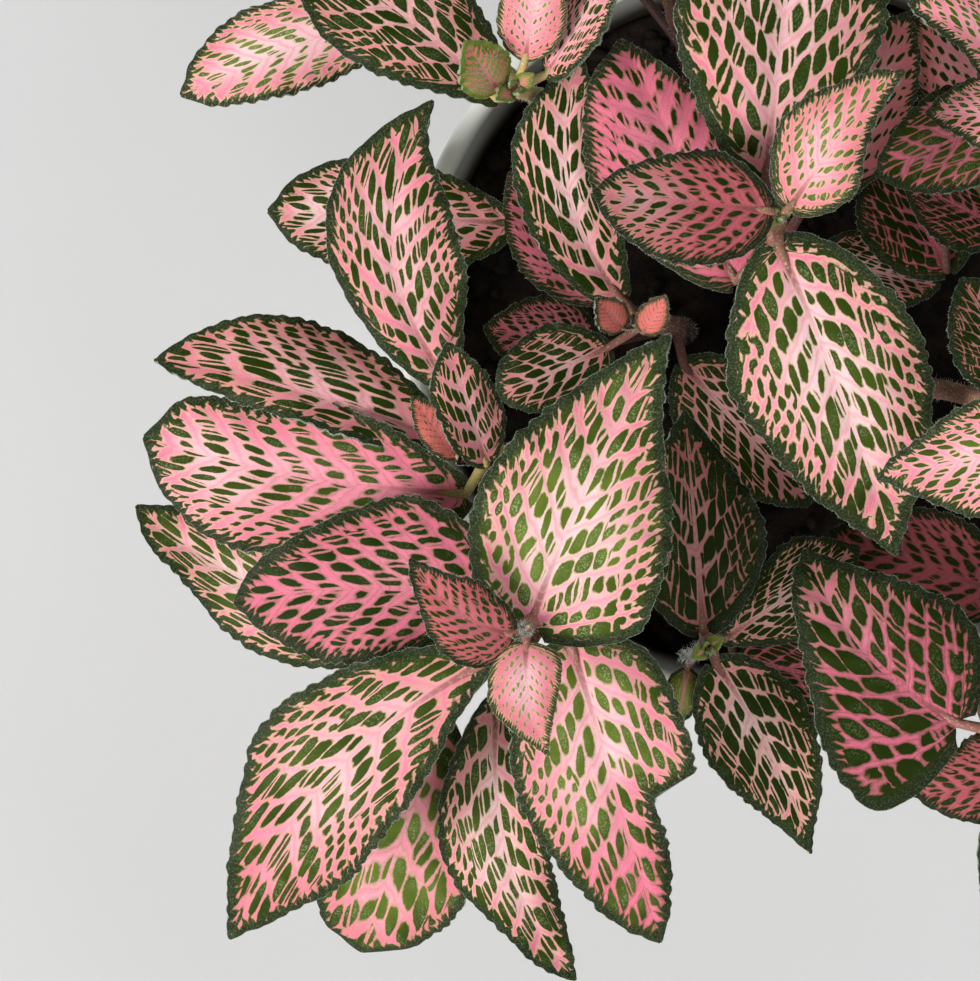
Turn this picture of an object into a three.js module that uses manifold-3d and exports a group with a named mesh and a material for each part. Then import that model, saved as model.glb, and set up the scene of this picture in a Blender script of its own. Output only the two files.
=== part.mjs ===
// Potted nerve plant: a round white pot, its soil, and leafy creeping stems with broad net-veined leaves.
// Millimetres, +Z up. The origin is the centre of the pot's flat foot, and -Y is the front.
import * as THREE from "three";
import { mergeVertices } from "three/addons/utils/BufferGeometryUtils.js";
import Module from "manifold-3d";

const wasm = await Module();
wasm.setup();

// Pot and soil
const potHeight = 100;
const rimRadius = 60;
const footRadius = 43;
const wallThickness = 3.4;
const floorThickness = 6;
const roundSides = 48;
const soilTop = 89;
const soilLumps = 1.1;
const seatGap = 0.3;

// Stems and leaves
const stemRadius = 1.8;
const stemSides = 6;
const rootDepth = 20;
const stalkRadius = 0.95;
const stalkSides = 4;
const bladeThickness = 0.8;
const fold = 0.14;
const curl = 0.16;
const widestWave = 1.2;
const waves = 1.4;
const lobe = 0.06;
const lobeLength = 0.25;
const columns = [-1, -0.5, 0, 0.5, 1];
const smallLeafColumns = [-1, 0, 1];
const widthPlaces = [0.1, 0.3, 0.5, 0.7, 0.9];
const longLeafRows = [0.1, 0.28, 0.48, 0.7, 0.9];
const shortLeafRows = [0.16, 0.42, 0.72];
const stepLength = 0.025;
const longLeaf = 26;
const smallLeaf = 15;

const radians = (degrees) => (degrees * Math.PI) / 180;

// One leaf's blade, from its base to its tip. below is how far under the stem's tip its stalk grows, arch
// bows the midrib upwards and bow to its left, both as shares of the length, and tilt lifts its left side in
// degrees. left and right are its half widths at widthPlaces. A leaf without them is widest at belly. step is
// where a torn side gets suddenly narrower: the side, the place and the share that is left.
function leaf(from, to, wide, more = {}) {
  return { from, to, wide, below: 2, arch: 0.05, bow: 0, tilt: 0, belly: 0.42, step: null, ...more };
}

// The leaves of a stem that the photograph doesn't show: crossed pairs, small at the tip and large lower
// down. The lower pairs keep only the leaves that point away from the middle of the pot.
function pairedLeaves(tip, firstTurn, size, outward) {
  const leaves = [];
  const downStem = [1, 5, 14, 26, 37];
  const shares = [0.36, 0.66, 0.94, 1, 0.9];
  const slopes = [30, 12, -10, -28, -34];
  const limits = [180, 140, 96, 80, 80];
  for (let pair = 0; pair < downStem.length; pair++) {
    const below = downStem[pair];
    const long = size * shares[pair];
    const slope = radians(slopes[pair]);
    for (const side of [0, 180]) {
      const turn = firstTurn + pair * 86 + side + (side ? 7 : -5);
      if (Math.cos(radians(turn - outward)) < Math.cos(radians(limits[pair]))) continue;
      const way = [Math.cos(radians(turn)), Math.sin(radians(turn))];
      const [near, far] = [2 + 0.1 * long, 2 + 1.1 * long * Math.cos(slope)];
      const high = tip[2] - below;
      const from = [tip[0] + near * way[0], tip[1] + near * way[1], high + 1];
      const to = [tip[0] + far * way[0], tip[1] + far * way[1], high + long * Math.sin(slope)];
      leaves.push(leaf(from, to, long * 0.6, { below, arch: 0.09 }));
    }
  }
  return leaves;
}

// Each stem: where it leaves the soil, where its tip is, and its leaves from the tip down.
const shoots = {
  front_left_shoot: {
    root: [-25, -28],
    tip: [-41.5, -45, 163],
    leaves: [
      leaf([-43, -45.5, 164], [-57, -35, 169], 11, {
        below: 1, bow: 0.1,
        left: [4.8, 6.2, 5.1, 2.9, 1.3],
        right: [3.5, 4.6, 4.9, 3.4, 1.5],
      }),
      leaf([-41, -47, 164], [-38, -62, 167], 10, {
        below: 1, bow: -0.07,
        left: [4.5, 4.8, 3.9, 2.6, 0.9],
        right: [3.8, 5.2, 5.3, 3.3, 1],
      }),
      leaf([-40.5, -44.5, 161], [-21, -4, 162], 28.3, {
        below: 5, bow: 0.03,
        left: [9.5, 13.4, 11.9, 7.8, 3],
        right: [13.7, 14.6, 12.3, 6.5, 1.9],
      }),
      leaf([-47, -50, 155], [-84, -91, 136], 23.3, {
        below: 6, bow: -0.09,
        left: [4, 9.7, 11.4, 11.2, 5.1],
        right: [6, 10.6, 12, 7, 2.2],
      }),
      leaf([-34.5, -47.3, 152.5], [-21, -92, 132], 25, {
        below: 13, step: [1, 0.48, 0.4],
        left: [9.8, 12.1, 11.9, 12.3, 6.4],
        right: [9.5, 13.3, 13, 9.8, 4.7],
      }),
      leaf([-46, -41, 149], [-83, -42, 140], 24, {
        below: 12, bow: -0.05,
        left: [5.5, 9.5, 10.7, 9.8, 4.9],
        right: [9, 13.2, 11.3, 8.2, 4.3],
      }),
      leaf([-45, -56, 139], [-33, -100, 114], 15, {
        below: 22, bow: -0.09,
        left: [4, 6, 6, 5, 2.5],
        right: [4.5, 8.6, 9, 5, 2.5],
      }),
      leaf([-53, -60, 130], [-66, -97, 104], 22.5, {
        below: 30,
        left: [5, 9.5, 12, 11.5, 7],
        right: [5, 9, 10.5, 10.3, 7.2],
      }),
      leaf([-59, -48, 127], [-100, -28, 111], 15.5, {
        below: 30, bow: 0.05,
        left: [5.2, 8.6, 8.5, 5, 3],
        right: [4, 6.5, 7, 5.5, 3.2],
      }),
    ],
  },
  left_shoot: {
    root: [-38, -20],
    tip: [-48.5, -20.5, 149],
    leaves: [
      leaf([-46.5, -22, 151], [-52, -5, 160], 9.3, {
        below: 1, tilt: 16,
        left: [2.5, 4.2, 4.6, 4.5, 2.3],
        right: [2.7, 4.7, 4.7, 3.8, 1.6],
      }),
      leaf([-49, -20, 151], [-54, -12, 156], 4.5, { below: 1 }),
      leaf([-52, -10, 142], [-54, 30, 146], 19, {
        below: 6, bow: 0.17,
        left: [4, 6.9, 9.4, 8.6, 3.6],
        right: [5.2, 9.5, 9.3, 7, 1.5],
      }),
      leaf([-51, -19.2, 138.5], [-95.6, -6.4, 129], 15, {
        below: 9, bow: -0.03, tilt: 20, arch: 0.08,
        left: [3, 5, 4.5, 3.6, 2],
        right: [4, 8.9, 11.2, 9.9, 4.7],
      }),
      leaf([-49.5, -26.2, 142.5], [-97.5, -17.7, 125], 23, {
        below: 8, bow: 0.03, step: [-1, 0.58, 0.78],
        left: [7, 11, 12, 11.7, 6.5],
        right: [5, 10, 11.2, 11.3, 9.2],
      }),
    ],
  },
  back_left_shoot: {
    root: [-37, 33],
    tip: [-42.5, 31, 151],
    leaves: [
      leaf([-41, 35, 154], [-39, 48, 166], 9.5, { below: 1 }),
      leaf([-38, 33, 152], [-28, 47, 162], 9.5, { below: 1, tilt: -40 }),
      leaf([-45, 31, 151], [-50, 36, 162], 9, { below: 1 }),
      leaf([-45, 30, 148], [-75, 53, 142], 19, {
        below: 5, bow: -0.04,
        left: [3.5, 7.8, 9.4, 9, 4.5],
        right: [4.5, 8, 9.5, 8.5, 4.5],
      }),
      leaf([-56, 47, 130], [-92, 33, 125], 14, {
        below: 26,
        left: [3.5, 6, 6.7, 5.5, 3.2],
        right: [4, 6.5, 7.3, 7.7, 4.3],
      }),
      leaf([-43, 15, 112], [-80, 17, 110], 16, {
        below: 46,
        left: [5.2, 7.8, 8, 7.8, 4.5],
        right: [3.9, 7.3, 8.2, 8.4, 5],
      }),
    ],
  },
  inner_left_shoot: {
    root: [-15, -1],
    tip: [-25.5, -1.5, 142],
    leaves: [
      leaf([-27, -2.4, 143], [-31, 1.6, 149], 5, { below: 1 }),
      leaf([-24, -3, 143], [-21, 2, 149], 4.5, { below: 1 }),
      leaf([-27, 2, 140], [-33, 37, 144], 14, {
        below: 4, bow: 0.14,
        left: [4, 6.4, 7.5, 6.9, 2.5],
        right: [3.5, 6, 6.5, 5.5, 2.8],
      }),
      leaf([-29, -5, 136], [-45, -12, 134], 13, {
        below: 6,
        left: [4, 6.5, 6.5, 5, 2.5],
        right: [3.5, 6.3, 6.6, 5.6, 3.6],
      }),
      leaf([-29, 3, 126], [-43, 22, 122], 15, { below: 16 }),
      leaf([-17, -7, 122], [2, -28, 118], 17, { below: 24 }),
      leaf([-30, -4, 116], [-47, -1.4, 122], 13, { below: 28 }),
    ],
  },
  front_shoot: {
    root: [-11, -33],
    tip: [-14.5, -48.5, 137],
    leaves: [
      leaf([-15, -46, 136], [-18, -14, 141], 18.7, {
        below: 3,
        left: [5.5, 9, 9, 6.5, 2.5],
        right: [5.7, 9.6, 9.7, 6.5, 2.3],
      }),
      leaf([-12, -47.5, 134], [8, -34, 134], 12.5, {
        below: 4,
        left: [1.8, 3.6, 6, 6.5, 3],
        right: [2.5, 5.5, 6.5, 5.5, 2.5],
      }),
      leaf([-13, -51, 134], [2, -80, 122], 16.6, {
        below: 4, bow: 0.035,
        left: [5.3, 8, 7.2, 4.7, 1.2],
        right: [5.9, 8.6, 7.7, 5.1, 1.8],
      }),
      leaf([-17, -52, 131], [-18.5, -60, 133], 5.5, { below: 6 }),
      leaf([-9, -51, 115], [18, -57, 112], 16, { below: 22 }),
    ],
  },
  front_right_shoot: {
    root: [22, -43.5],
    tip: [27.5, -62, 147],
    leaves: [
      leaf([30, -61, 148], [44, -57, 151], 10, { below: 1 }),
      leaf([29, -64, 148], [36, -79, 156], 10, { below: 1 }),
      leaf([21, -59, 145], [-0.5, -34, 140], 29, {
        below: 3, bow: 0.1,
        left: [16, 15, 10, 6.3, 3.4],
        right: [10.8, 14, 12.6, 9.5, 3.7],
      }),
      leaf([32, -66, 143], [58, -92, 134], 24, { below: 5 }),
      leaf([34, -60, 138], [71, -66, 124], 24, { below: 13 }),
      leaf([38, -62, 127], [17, -71, 121], 13.5, {
        below: 18, bow: 0.1,
        left: [4.5, 6.5, 6.5, 5, 2],
        right: [5, 7, 7, 5.5, 2.5],
      }),
      leaf([31, -70, 126], [49, -104, 106], 22, { below: 26 }),
    ],
  },
  centre_shoot: {
    root: [-4, 7],
    tip: [-6.5, 12, 166],
    leaves: [
      leaf([-8, 12.5, 168], [-32, 15, 167], 15.6, {
        below: 1,
        left: [5.7, 8.2, 8.3, 6.9, 3.6],
        right: [4.3, 7.3, 6.7, 5.2, 2.8],
      }),
      leaf([-5, 13, 168], [10, 31, 173], 13.5, {
        below: 1, bow: 0.03,
        left: [4.6, 7.5, 7.5, 5.2, 2.5],
        right: [4.4, 6.1, 3.8, 1.8, 0.8],
      }),
      leaf([-8, 17, 162], [-3, 61, 158], 29, {
        below: 6,
        left: [6.5, 12.5, 15.1, 12.5, 5],
        right: [6, 11, 14, 13, 5],
      }),
      leaf([-6, 8, 162], [12, -35, 146], 27, {
        below: 6, bow: 0.01,
        left: [8, 12.6, 13, 9.5, 3],
        right: [8.7, 14, 12.4, 9, 3.2],
      }),
      leaf([-11, 4, 148], [-27.4, 38.9, 145], 22, {
        below: 18,
        left: [6, 11, 13, 11.2, 6.6],
        right: [6, 9, 8.5, 6.3, 2.6],
      }),
      leaf([3, 9, 122], [22, 5, 116], 12, { below: 38 }),
      leaf([1, 17, 127], [17, 46, 120], 16, { below: 42 }),
    ],
  },
  right_shoot: {
    root: [16, -9],
    tip: [32, -17, 172],
    leaves: [
      leaf([30, -19, 173], [7, -24, 166], 15.5, {
        below: 1,
        left: [5, 8, 8, 5, 1.7],
        right: [5, 7.5, 6.7, 4.2, 2.1],
      }),
      leaf([34, -15, 173], [56, -6, 176], 15, { below: 1 }),
      leaf([29, -12, 160], [20, 4, 156], 14, { below: 10 }),
      leaf([28, -9, 142], [46, 13, 134], 19, { below: 30 }),
      leaf([15, -17, 113], [-8, -25, 110], 13, { below: 56 }),
      leaf([33, -22, 166], [50, -56, 158], 25, { below: 7 }),
    ],
  },
  back_right_shoot: {
    root: [16, 17],
    tip: [33, 27, 159],
    leaves: [
      leaf([31, 26, 160], [15, 27, 156], 11.5, {
        below: 1,
        left: [4.5, 5.5, 5, 3, 1.4],
        right: [4.5, 6, 5.7, 4.4, 2.2],
      }),
      leaf([34, 29, 160], [52, 38, 162], 13, { below: 1 }),
      leaf([29, 28, 152], [9, 19.4, 145], 15, { below: 9, tilt: 12 }),
      leaf([29, 33, 155], [12, 42, 160], 12, {
        below: 6,
        left: [5, 4, 2, 1.5, 1],
        right: [6, 8, 7.5, 5, 2.5],
      }),
      leaf([30, 12, 134], [15, 20, 130], 12, { below: 26 }),
      leaf([22, 7, 124], [12, 27, 122], 18, { below: 36 }),
      leaf([28, 30, 122], [22, 51, 118], 18, { below: 44 }),
    ],
  },
  lower_right_shoot: {
    root: [31, -22],
    tip: [45, -38, 138],
    leaves: [
      leaf([46, -36, 139], [54, -24, 147], 9, { below: 1 }),
      leaf([47, -40, 139], [58, -47, 144], 9, { below: 1 }),
      leaf([49, -37, 134], [80, -30, 127], 20, { below: 4 }),
      leaf([30, -41, 128], [4, -32, 127], 17, { below: 8 }),
      leaf([50, -42, 121], [82, -60, 106], 23, { below: 16 }),
    ],
  },
  far_right_shoot: { root: [38, 0], tip: [60, -4, 144], leaves: pairedLeaves([60, -4, 144], 20, 44, 0) },
  far_back_right_shoot: {
    root: [34, 22],
    tip: [55, 42, 140],
    leaves: pairedLeaves([55, 42, 140], 70, 44, 38),
  },
  back_shoot: { root: [2, 42], tip: [16, 58, 150], leaves: pairedLeaves([16, 58, 150], 110, 46, 72) },
  far_back_left_shoot: {
    root: [-14, 38],
    tip: [-27, 62, 140],
    leaves: pairedLeaves([-27, 62, 140], 186, 46, 112),
  },
};

// A three.js geometry as a manifold-3d solid, with its shared corners merged.
function solidOf(geometry) {
  const bare = geometry.clone();
  bare.deleteAttribute("normal");
  bare.deleteAttribute("uv");
  const merged = mergeVertices(bare, 1e-3);
  const mesh = new wasm.Mesh({
    numProp: 3,
    vertProperties: new Float32Array(merged.attributes.position.array),
    triVerts: new Uint32Array(merged.index.array),
  });
  return new wasm.Manifold(mesh);
}

// A manifold-3d solid as a three.js geometry.
function geometryOf(solid) {
  const mesh = solid.getMesh();
  const geometry = new THREE.BufferGeometry();
  geometry.setAttribute("position", new THREE.BufferAttribute(mesh.vertProperties, 3));
  geometry.setIndex(new THREE.BufferAttribute(mesh.triVerts, 1));
  geometry.computeVertexNormals();
  return geometry;
}

// A lathe about +Z from a profile of [radius, height] pairs, listed from the bottom of the axis outwards.
function turned(profile) {
  const points = profile.map(([radius, height]) => new THREE.Vector2(radius, height));
  return new THREE.LatheGeometry(points, roundSides).rotateX(Math.PI / 2);
}

// The outer wall's radius at a height.
function wallRadius(height) {
  return footRadius + ((rimRadius - footRadius) * height) / potHeight;
}

function makePot() {
  const lip = wallThickness / 2;
  const inner = (height) => wallRadius(height) - wallThickness;
  return turned([
    [0, 0],
    [footRadius - 1.5, 0],
    [footRadius, 1.5],
    [wallRadius(potHeight / 2), potHeight / 2],
    [rimRadius, potHeight - lip],
    [rimRadius - lip * 0.3, potHeight - lip * 0.3],
    [rimRadius - lip, potHeight],
    [rimRadius - lip * 1.7, potHeight - lip * 0.3],
    [inner(potHeight), potHeight - lip],
    [inner(potHeight / 2), potHeight / 2],
    [inner(floorThickness), floorThickness],
    [0, floorThickness],
  ]);
}

// The soil fills the pot, has a lumpy top and has a plain hole for each stem.
function makeSoil() {
  const radius = (height) => wallRadius(height) - wallThickness - seatGap;
  const low = floorThickness + seatGap;
  const rings = [1, 0.74, 0.48, 0.22, 0];
  const profile = [
    [0, low],
    [radius(low), low],
    ...rings.map((share) => [radius(soilTop) * share, soilTop]),
  ];
  const body = turned(profile);
  const spots = body.attributes.position;
  for (let i = 0; i < spots.count; i++) {
    if (spots.getZ(i) < soilTop - 1) continue;
    const [x, y] = [spots.getX(i), spots.getY(i)];
    const lump = Math.sin(x * 0.31 + 1) * Math.cos(y * 0.27) + 0.6 * Math.sin(x * 0.13 - y * 0.46);
    const inside = 1 - (Math.hypot(x, y) / radius(soilTop)) ** 4;
    spots.setZ(i, soilTop + soilLumps * lump * inside);
  }
  let soil = solidOf(body);
  for (const { root } of Object.values(shoots)) {
    const hole = new THREE.CylinderGeometry(stemRadius + seatGap, stemRadius + seatGap, 2 * rootDepth, 8);
    hole.rotateX(Math.PI / 2).translate(root[0], root[1], soilTop);
    soil = soil.subtract(solidOf(hole));
  }
  return geometryOf(soil);
}

// A point of the stem above the soil, at a share of its way up: it rises straight and then leans over.
function stemPoint({ root, tip }, share) {
  const start = new THREE.Vector3(root[0], root[1], soilTop);
  const lean = new THREE.Vector3(root[0], root[1], soilTop + 0.6 * (tip[2] - soilTop));
  const end = new THREE.Vector3(...tip);
  return new THREE.QuadraticBezierCurve3(start, lean, end).getPoint(share);
}

// The point of the stem that lies a distance below its tip.
function stemNode(shoot, below) {
  const high = shoot.tip[2] - soilTop;
  const away = Math.hypot(shoot.tip[0] - shoot.root[0], shoot.tip[1] - shoot.root[1]);
  return stemPoint(shoot, 1 - below / Math.hypot(high, away));
}

function tube(curve, radius, sides, steps) {
  const corners = [];
  for (let i = 0; i < sides; i++) {
    const angle = (2 * Math.PI * i) / sides;
    corners.push(new THREE.Vector2(radius * Math.cos(angle), radius * Math.sin(angle)));
  }
  return new THREE.ExtrudeGeometry(new THREE.Shape(corners), { steps, extrudePath: curve });
}

function makeStem(shoot) {
  const points = [new THREE.Vector3(shoot.root[0], shoot.root[1], soilTop - rootDepth + seatGap)];
  for (const share of [0, 0.25, 0.5, 0.75, 1]) {
    points.push(stemPoint(shoot, share));
  }
  return tube(new THREE.CatmullRomCurve3(points), stemRadius, stemSides, 8);
}

// The blade's half width at a share t of its length, as a share of the widest.
function outline(t, belly) {
  const round = 0.62;
  const point = (round * (1 - belly)) / belly;
  const shape = (u) => Math.pow(u, round) * Math.pow(1 - u, point);
  return shape(t) / shape(belly);
}

// The half width at a share t of the length, on a smooth curve through the measured ones that is round at
// the base and pointed at the tip.
function measuredWidth(widths, t) {
  const along = (share) => Math.acos(1 - share);
  const places = [0, ...widthPlaces, 1].map(along);
  const values = [0, ...widths, 0];
  const last = places.length - 1;
  const slope = (i) => {
    const [a, b] = [Math.max(i - 1, 0), Math.min(i + 1, last)];
    return (values[b] - values[a]) / (places[b] - places[a]);
  };
  const here = along(t);
  let i = 0;
  while (i < last - 1 && here > places[i + 1]) i++;
  const gap = places[i + 1] - places[i];
  const u = (here - places[i]) / gap;
  const ends = values[i] * (1 + 2 * u) * (1 - u) ** 2 + values[i + 1] * u * u * (3 - 2 * u);
  return ends + gap * (slope(i) * u * (1 - u) ** 2 - slope(i + 1) * u * u * (1 - u));
}

// The half width of one side (1 is left, -1 is right) at t.
function halfWidth(spec, t, side) {
  if (!spec.left) return (spec.wide / 2) * outline(t, spec.belly);
  const half = measuredWidth(side > 0 ? spec.left : spec.right, t);
  if (!spec.step || spec.step[0] !== side) return half;
  const past = THREE.MathUtils.smoothstep(t, spec.step[1] - stepLength, spec.step[1] + stepLength);
  return half * (1 + (spec.step[2] - 1) * past);
}

// The blade at t: a point of the midrib, and the way to its left side and out of its upper face.
function bladeFrame(spec, t) {
  const base = new THREE.Vector3(...spec.from);
  const reach = new THREE.Vector3(...spec.to).sub(base);
  const long = reach.length();
  const flat = new THREE.Vector3(-reach.y, reach.x, 0).normalize();
  const high = reach.clone().normalize().cross(flat);
  const bend = high.multiplyScalar(spec.arch * long).addScaledVector(flat, spec.bow * long);
  const middle = base.addScaledVector(reach, t).addScaledVector(bend, 4 * t * (1 - t));
  const along = reach.addScaledVector(bend, 4 - 8 * t).normalize();
  const left = new THREE.Vector3(-along.y, along.x, 0).normalize();
  left.applyAxisAngle(along, radians(spec.tilt));
  return { long, middle, along, left, up: along.clone().cross(left) };
}

// A point of the blade's middle surface, t along the midrib and v across, from -1 to 1.
function bladePoint(spec, t, v) {
  const { long, middle, along, left, up } = bladeFrame(spec, t);
  const half = halfWidth(spec, t, v > 0 ? 1 : -1);
  const wave = widestWave * Math.min(1, long / 45) * Math.sin(Math.PI * t);
  const phase = spec.to[0] + (v > 0 ? 0 : 2);
  const bend = fold * Math.abs(v) * half - curl * v * v * half;
  const lift = bend + wave * v * v * Math.sin(2 * Math.PI * waves * t + phase);
  const behind = lobe * spec.wide * v * v * Math.max(0, 1 - t / lobeLength);
  return middle.addScaledVector(left, v * half).addScaledVector(up, lift).addScaledVector(along, -behind);
}

// The blade as a closed sheet: the same triangles on both faces, joined round the edge.
function makeBlade(spec) {
  const { long } = bladeFrame(spec, 0);
  const across = long > smallLeaf ? columns : smallLeafColumns;
  let rows = long > longLeaf ? longLeafRows : shortLeafRows;
  if (spec.left) rows = widthPlaces;
  if (spec.step) {
    const place = spec.step[1];
    const whole = widthPlaces.filter((t) => Math.abs(t - place) > 4 * stepLength);
    rows = [...whole, place - stepLength, place + stepLength].sort();
  }
  const corners = [];
  const faces = [];
  const add = (t, v) => {
    const { up } = bladeFrame(spec, t);
    const spot = bladePoint(spec, t, v);
    for (const side of [1, -1]) {
      corners.push(...spot.clone().addScaledVector(up, (side * bladeThickness) / 2));
    }
    return corners.length / 3 - 2;
  };
  const face = (a, b, c) => faces.push(a, b, c, a + 1, c + 1, b + 1);
  const edge = (a, b) => faces.push(a, a + 1, b, b, a + 1, b + 1);
  const foot = add(0, 0);
  const grid = rows.map((t) => across.map((v) => add(t, v)));
  const point = add(1, 0);
  const last = across.length - 1;
  for (let j = 0; j < last; j++) {
    face(foot, grid[0][j], grid[0][j + 1]);
    face(grid[rows.length - 1][j], point, grid[rows.length - 1][j + 1]);
    for (let i = 0; i + 1 < rows.length; i++) {
      const [a, b, c, d] = [grid[i][j], grid[i + 1][j], grid[i + 1][j + 1], grid[i][j + 1]];
      if (j < last / 2) {
        face(a, b, c);
        face(a, c, d);
      } else {
        face(a, b, d);
        face(b, c, d);
      }
    }
  }
  const right = [foot, ...grid.map((row) => row[0]), point];
  const left = [foot, ...grid.map((row) => row[last]), point];
  for (let i = 0; i + 1 < right.length; i++) {
    edge(right[i], right[i + 1]);
    edge(left[i + 1], left[i]);
  }
  const geometry = new THREE.BufferGeometry();
  geometry.setAttribute("position", new THREE.Float32BufferAttribute(corners, 3));
  geometry.setIndex(faces);
  return geometry;
}

// The stalk is a straight taper from the stem into the first part of the midrib.
function makeStalk(spec, node) {
  const { long } = bladeFrame(spec, 0);
  const end = bladeFrame(spec, 0.09).middle;
  const way = end.clone().sub(node);
  const thick = stalkRadius * Math.min(1, 0.5 + long / 60);
  const stalk = new THREE.CylinderGeometry(thick * 0.5, thick, way.length(), stalkSides);
  const turn = new THREE.Quaternion().setFromUnitVectors(new THREE.Vector3(0, 1, 0), way.clone().normalize());
  stalk.applyQuaternion(turn);
  const middle = node.clone().lerp(end, 0.5);
  return stalk.translate(middle.x, middle.y, middle.z);
}

function makeShoot(shoot) {
  let plant = solidOf(makeStem(shoot));
  for (const spec of shoot.leaves) {
    const stalk = makeStalk(spec, stemNode(shoot, spec.below));
    plant = plant.add(solidOf(stalk)).add(solidOf(makeBlade(spec)));
  }
  return geometryOf(plant);
}

const glaze = new THREE.MeshStandardMaterial({ color: 0xeceeea, roughness: 0.35, metalness: 0 });
const earth = new THREE.MeshStandardMaterial({ color: 0x1c140f, roughness: 0.95, metalness: 0 });
const foliage = new THREE.MeshStandardMaterial({ color: 0xc0686f, roughness: 0.6, metalness: 0 });

const plant = new THREE.Group();

function place(name, geometry, material) {
  const mesh = new THREE.Mesh(geometry, material);
  mesh.name = name;
  plant.add(mesh);
}

place("pot", makePot(), glaze);
place("potting_soil", makeSoil(), earth);
for (const [name, shoot] of Object.entries(shoots)) {
  place(name, makeShoot(shoot), foliage);
}

export default plant;
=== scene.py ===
import math

import bpy
import numpy as np
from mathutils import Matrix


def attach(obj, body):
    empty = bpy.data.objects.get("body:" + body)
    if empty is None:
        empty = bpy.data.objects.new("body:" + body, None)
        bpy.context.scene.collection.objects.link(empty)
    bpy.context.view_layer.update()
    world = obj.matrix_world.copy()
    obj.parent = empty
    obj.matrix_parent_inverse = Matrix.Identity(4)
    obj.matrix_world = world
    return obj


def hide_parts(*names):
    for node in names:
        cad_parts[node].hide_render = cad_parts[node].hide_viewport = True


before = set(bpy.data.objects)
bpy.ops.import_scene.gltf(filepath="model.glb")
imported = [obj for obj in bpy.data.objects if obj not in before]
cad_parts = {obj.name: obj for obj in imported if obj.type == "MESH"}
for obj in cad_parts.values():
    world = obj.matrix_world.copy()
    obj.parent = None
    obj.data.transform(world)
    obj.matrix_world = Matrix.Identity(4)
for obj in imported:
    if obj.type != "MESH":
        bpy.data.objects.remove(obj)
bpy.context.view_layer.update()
mm = 0.001
draw = np.random.default_rng(5)


def report(text):
    print("scene:", text)


def clearSelection():
    if bpy.context.mode != "OBJECT":
        bpy.ops.object.mode_set(mode="OBJECT")
    bpy.ops.object.select_all(action="DESELECT")


def newPiece(add, **values):
    clearSelection()
    add(**values)
    return bpy.context.active_object


def applyModifier(piece, kind, **values):
    bpy.context.view_layer.objects.active = piece
    bpy.ops.object.modifier_add(type=kind)
    modifier = piece.modifiers[-1]
    for name, value in values.items():
        setattr(modifier, name, value)
    bpy.ops.object.modifier_apply(modifier=modifier.name)


def meshSpots(piece):
    spots = np.empty(len(piece.data.vertices) * 3)
    piece.data.vertices.foreach_get("co", spots)
    return spots.reshape(-1, 3)


def moveSpots(piece, spots):
    piece.data.vertices.foreach_set("co", np.asarray(spots, dtype=float).ravel())
    piece.data.update()


def unit(vectors):
    vectors = np.asarray(vectors, dtype=float)
    return vectors / np.maximum(np.linalg.norm(vectors, axis=-1, keepdims=True), 1e-12)


def joinPieces(pieces, name):
    clearSelection()
    for piece in pieces:
        piece.select_set(True)
    bpy.context.view_layer.objects.active = pieces[0]
    bpy.ops.object.join()
    joined = bpy.context.view_layer.objects.active
    joined.name = joined.data.name = name
    return joined


def finishPiece(piece, node):
    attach(piece, "root")
    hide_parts(node)


# Camera, light and floor
view = {"place": (-46, -25.7, 650), "lens": 129.6, "sensor": 36, "farthest": 20}
lights = {
    "window": {"place": (-1150, -500, 950), "size": 700, "power": 30, "colour": (1.0, 0.985, 0.965)},
    "fill": {"place": (700, 700, 1300), "size": 1100, "power": 9, "colour": (0.97, 0.985, 1.0)},
    "front": {"place": (350, -1100, 900), "size": 900, "power": 8, "colour": (1.0, 1.0, 1.0)},
}
room = {
    "colour": (0.93, 0.96, 1.0), "strength": 0.16, "floor": (0.54, 0.54, 0.545), "floorSize": 6000,
    "lightAim": (0, 0, 0.12),
}


def addCameraAndLight():
    place = [mm * x for x in view["place"]]
    camera = newPiece(bpy.ops.object.camera_add, location=place, rotation=(0, 0, 0))
    camera.name = "photoCamera"
    camera.data.lens = view["lens"]
    camera.data.sensor_width = view["sensor"]
    camera.data.clip_end = view["farthest"]
    bpy.context.scene.camera = camera
    for name, light in lights.items():
        place = np.array(light["place"]) * mm
        away = room["lightAim"] - place
        turnZ = math.atan2(away[1], away[0]) - math.pi / 2
        turnX = math.acos(-away[2] / np.linalg.norm(away))
        turns = (turnX, 0, turnZ)
        lamp = newPiece(bpy.ops.object.light_add, type="AREA", location=place, rotation=turns)
        lamp.name = name + "Light"
        lamp.data.shape = "SQUARE"
        lamp.data.size = light["size"] * mm
        lamp.data.energy = light["power"]
        lamp.data.color = light["colour"]
    world = bpy.data.worlds.new("studio")
    world.use_nodes = True
    back = world.node_tree.nodes["Background"]
    back.inputs["Color"].default_value = (*room["colour"], 1)
    back.inputs["Strength"].default_value = room["strength"]
    bpy.context.scene.world = world
    bpy.context.scene.view_settings.view_transform = "Standard"
    floor = newPiece(bpy.ops.mesh.primitive_plane_add, size=room["floorSize"] * mm)
    floor.name = "studioFloor"
    floor.data.materials.append(floorMaterial())
    report("camera, lights and floor")


# Small helpers for shader nodes
def put(tree, kind, **values):
    shaderNode = tree.nodes.new(kind)
    for name, value in values.items():
        setattr(shaderNode, name, value)
    return shaderNode


# A socket knows the tree that it belongs to.
def feed(socket, value):
    if isinstance(value, bpy.types.NodeSocket):
        socket.id_data.links.new(value, socket)
    elif isinstance(value, tuple) and len(value) == 3 and socket.type == "RGBA":
        socket.default_value = (*value, 1)
    else:
        socket.default_value = value


def treeOf(*values):
    return next(value.id_data for value in values if isinstance(value, bpy.types.NodeSocket))


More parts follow.
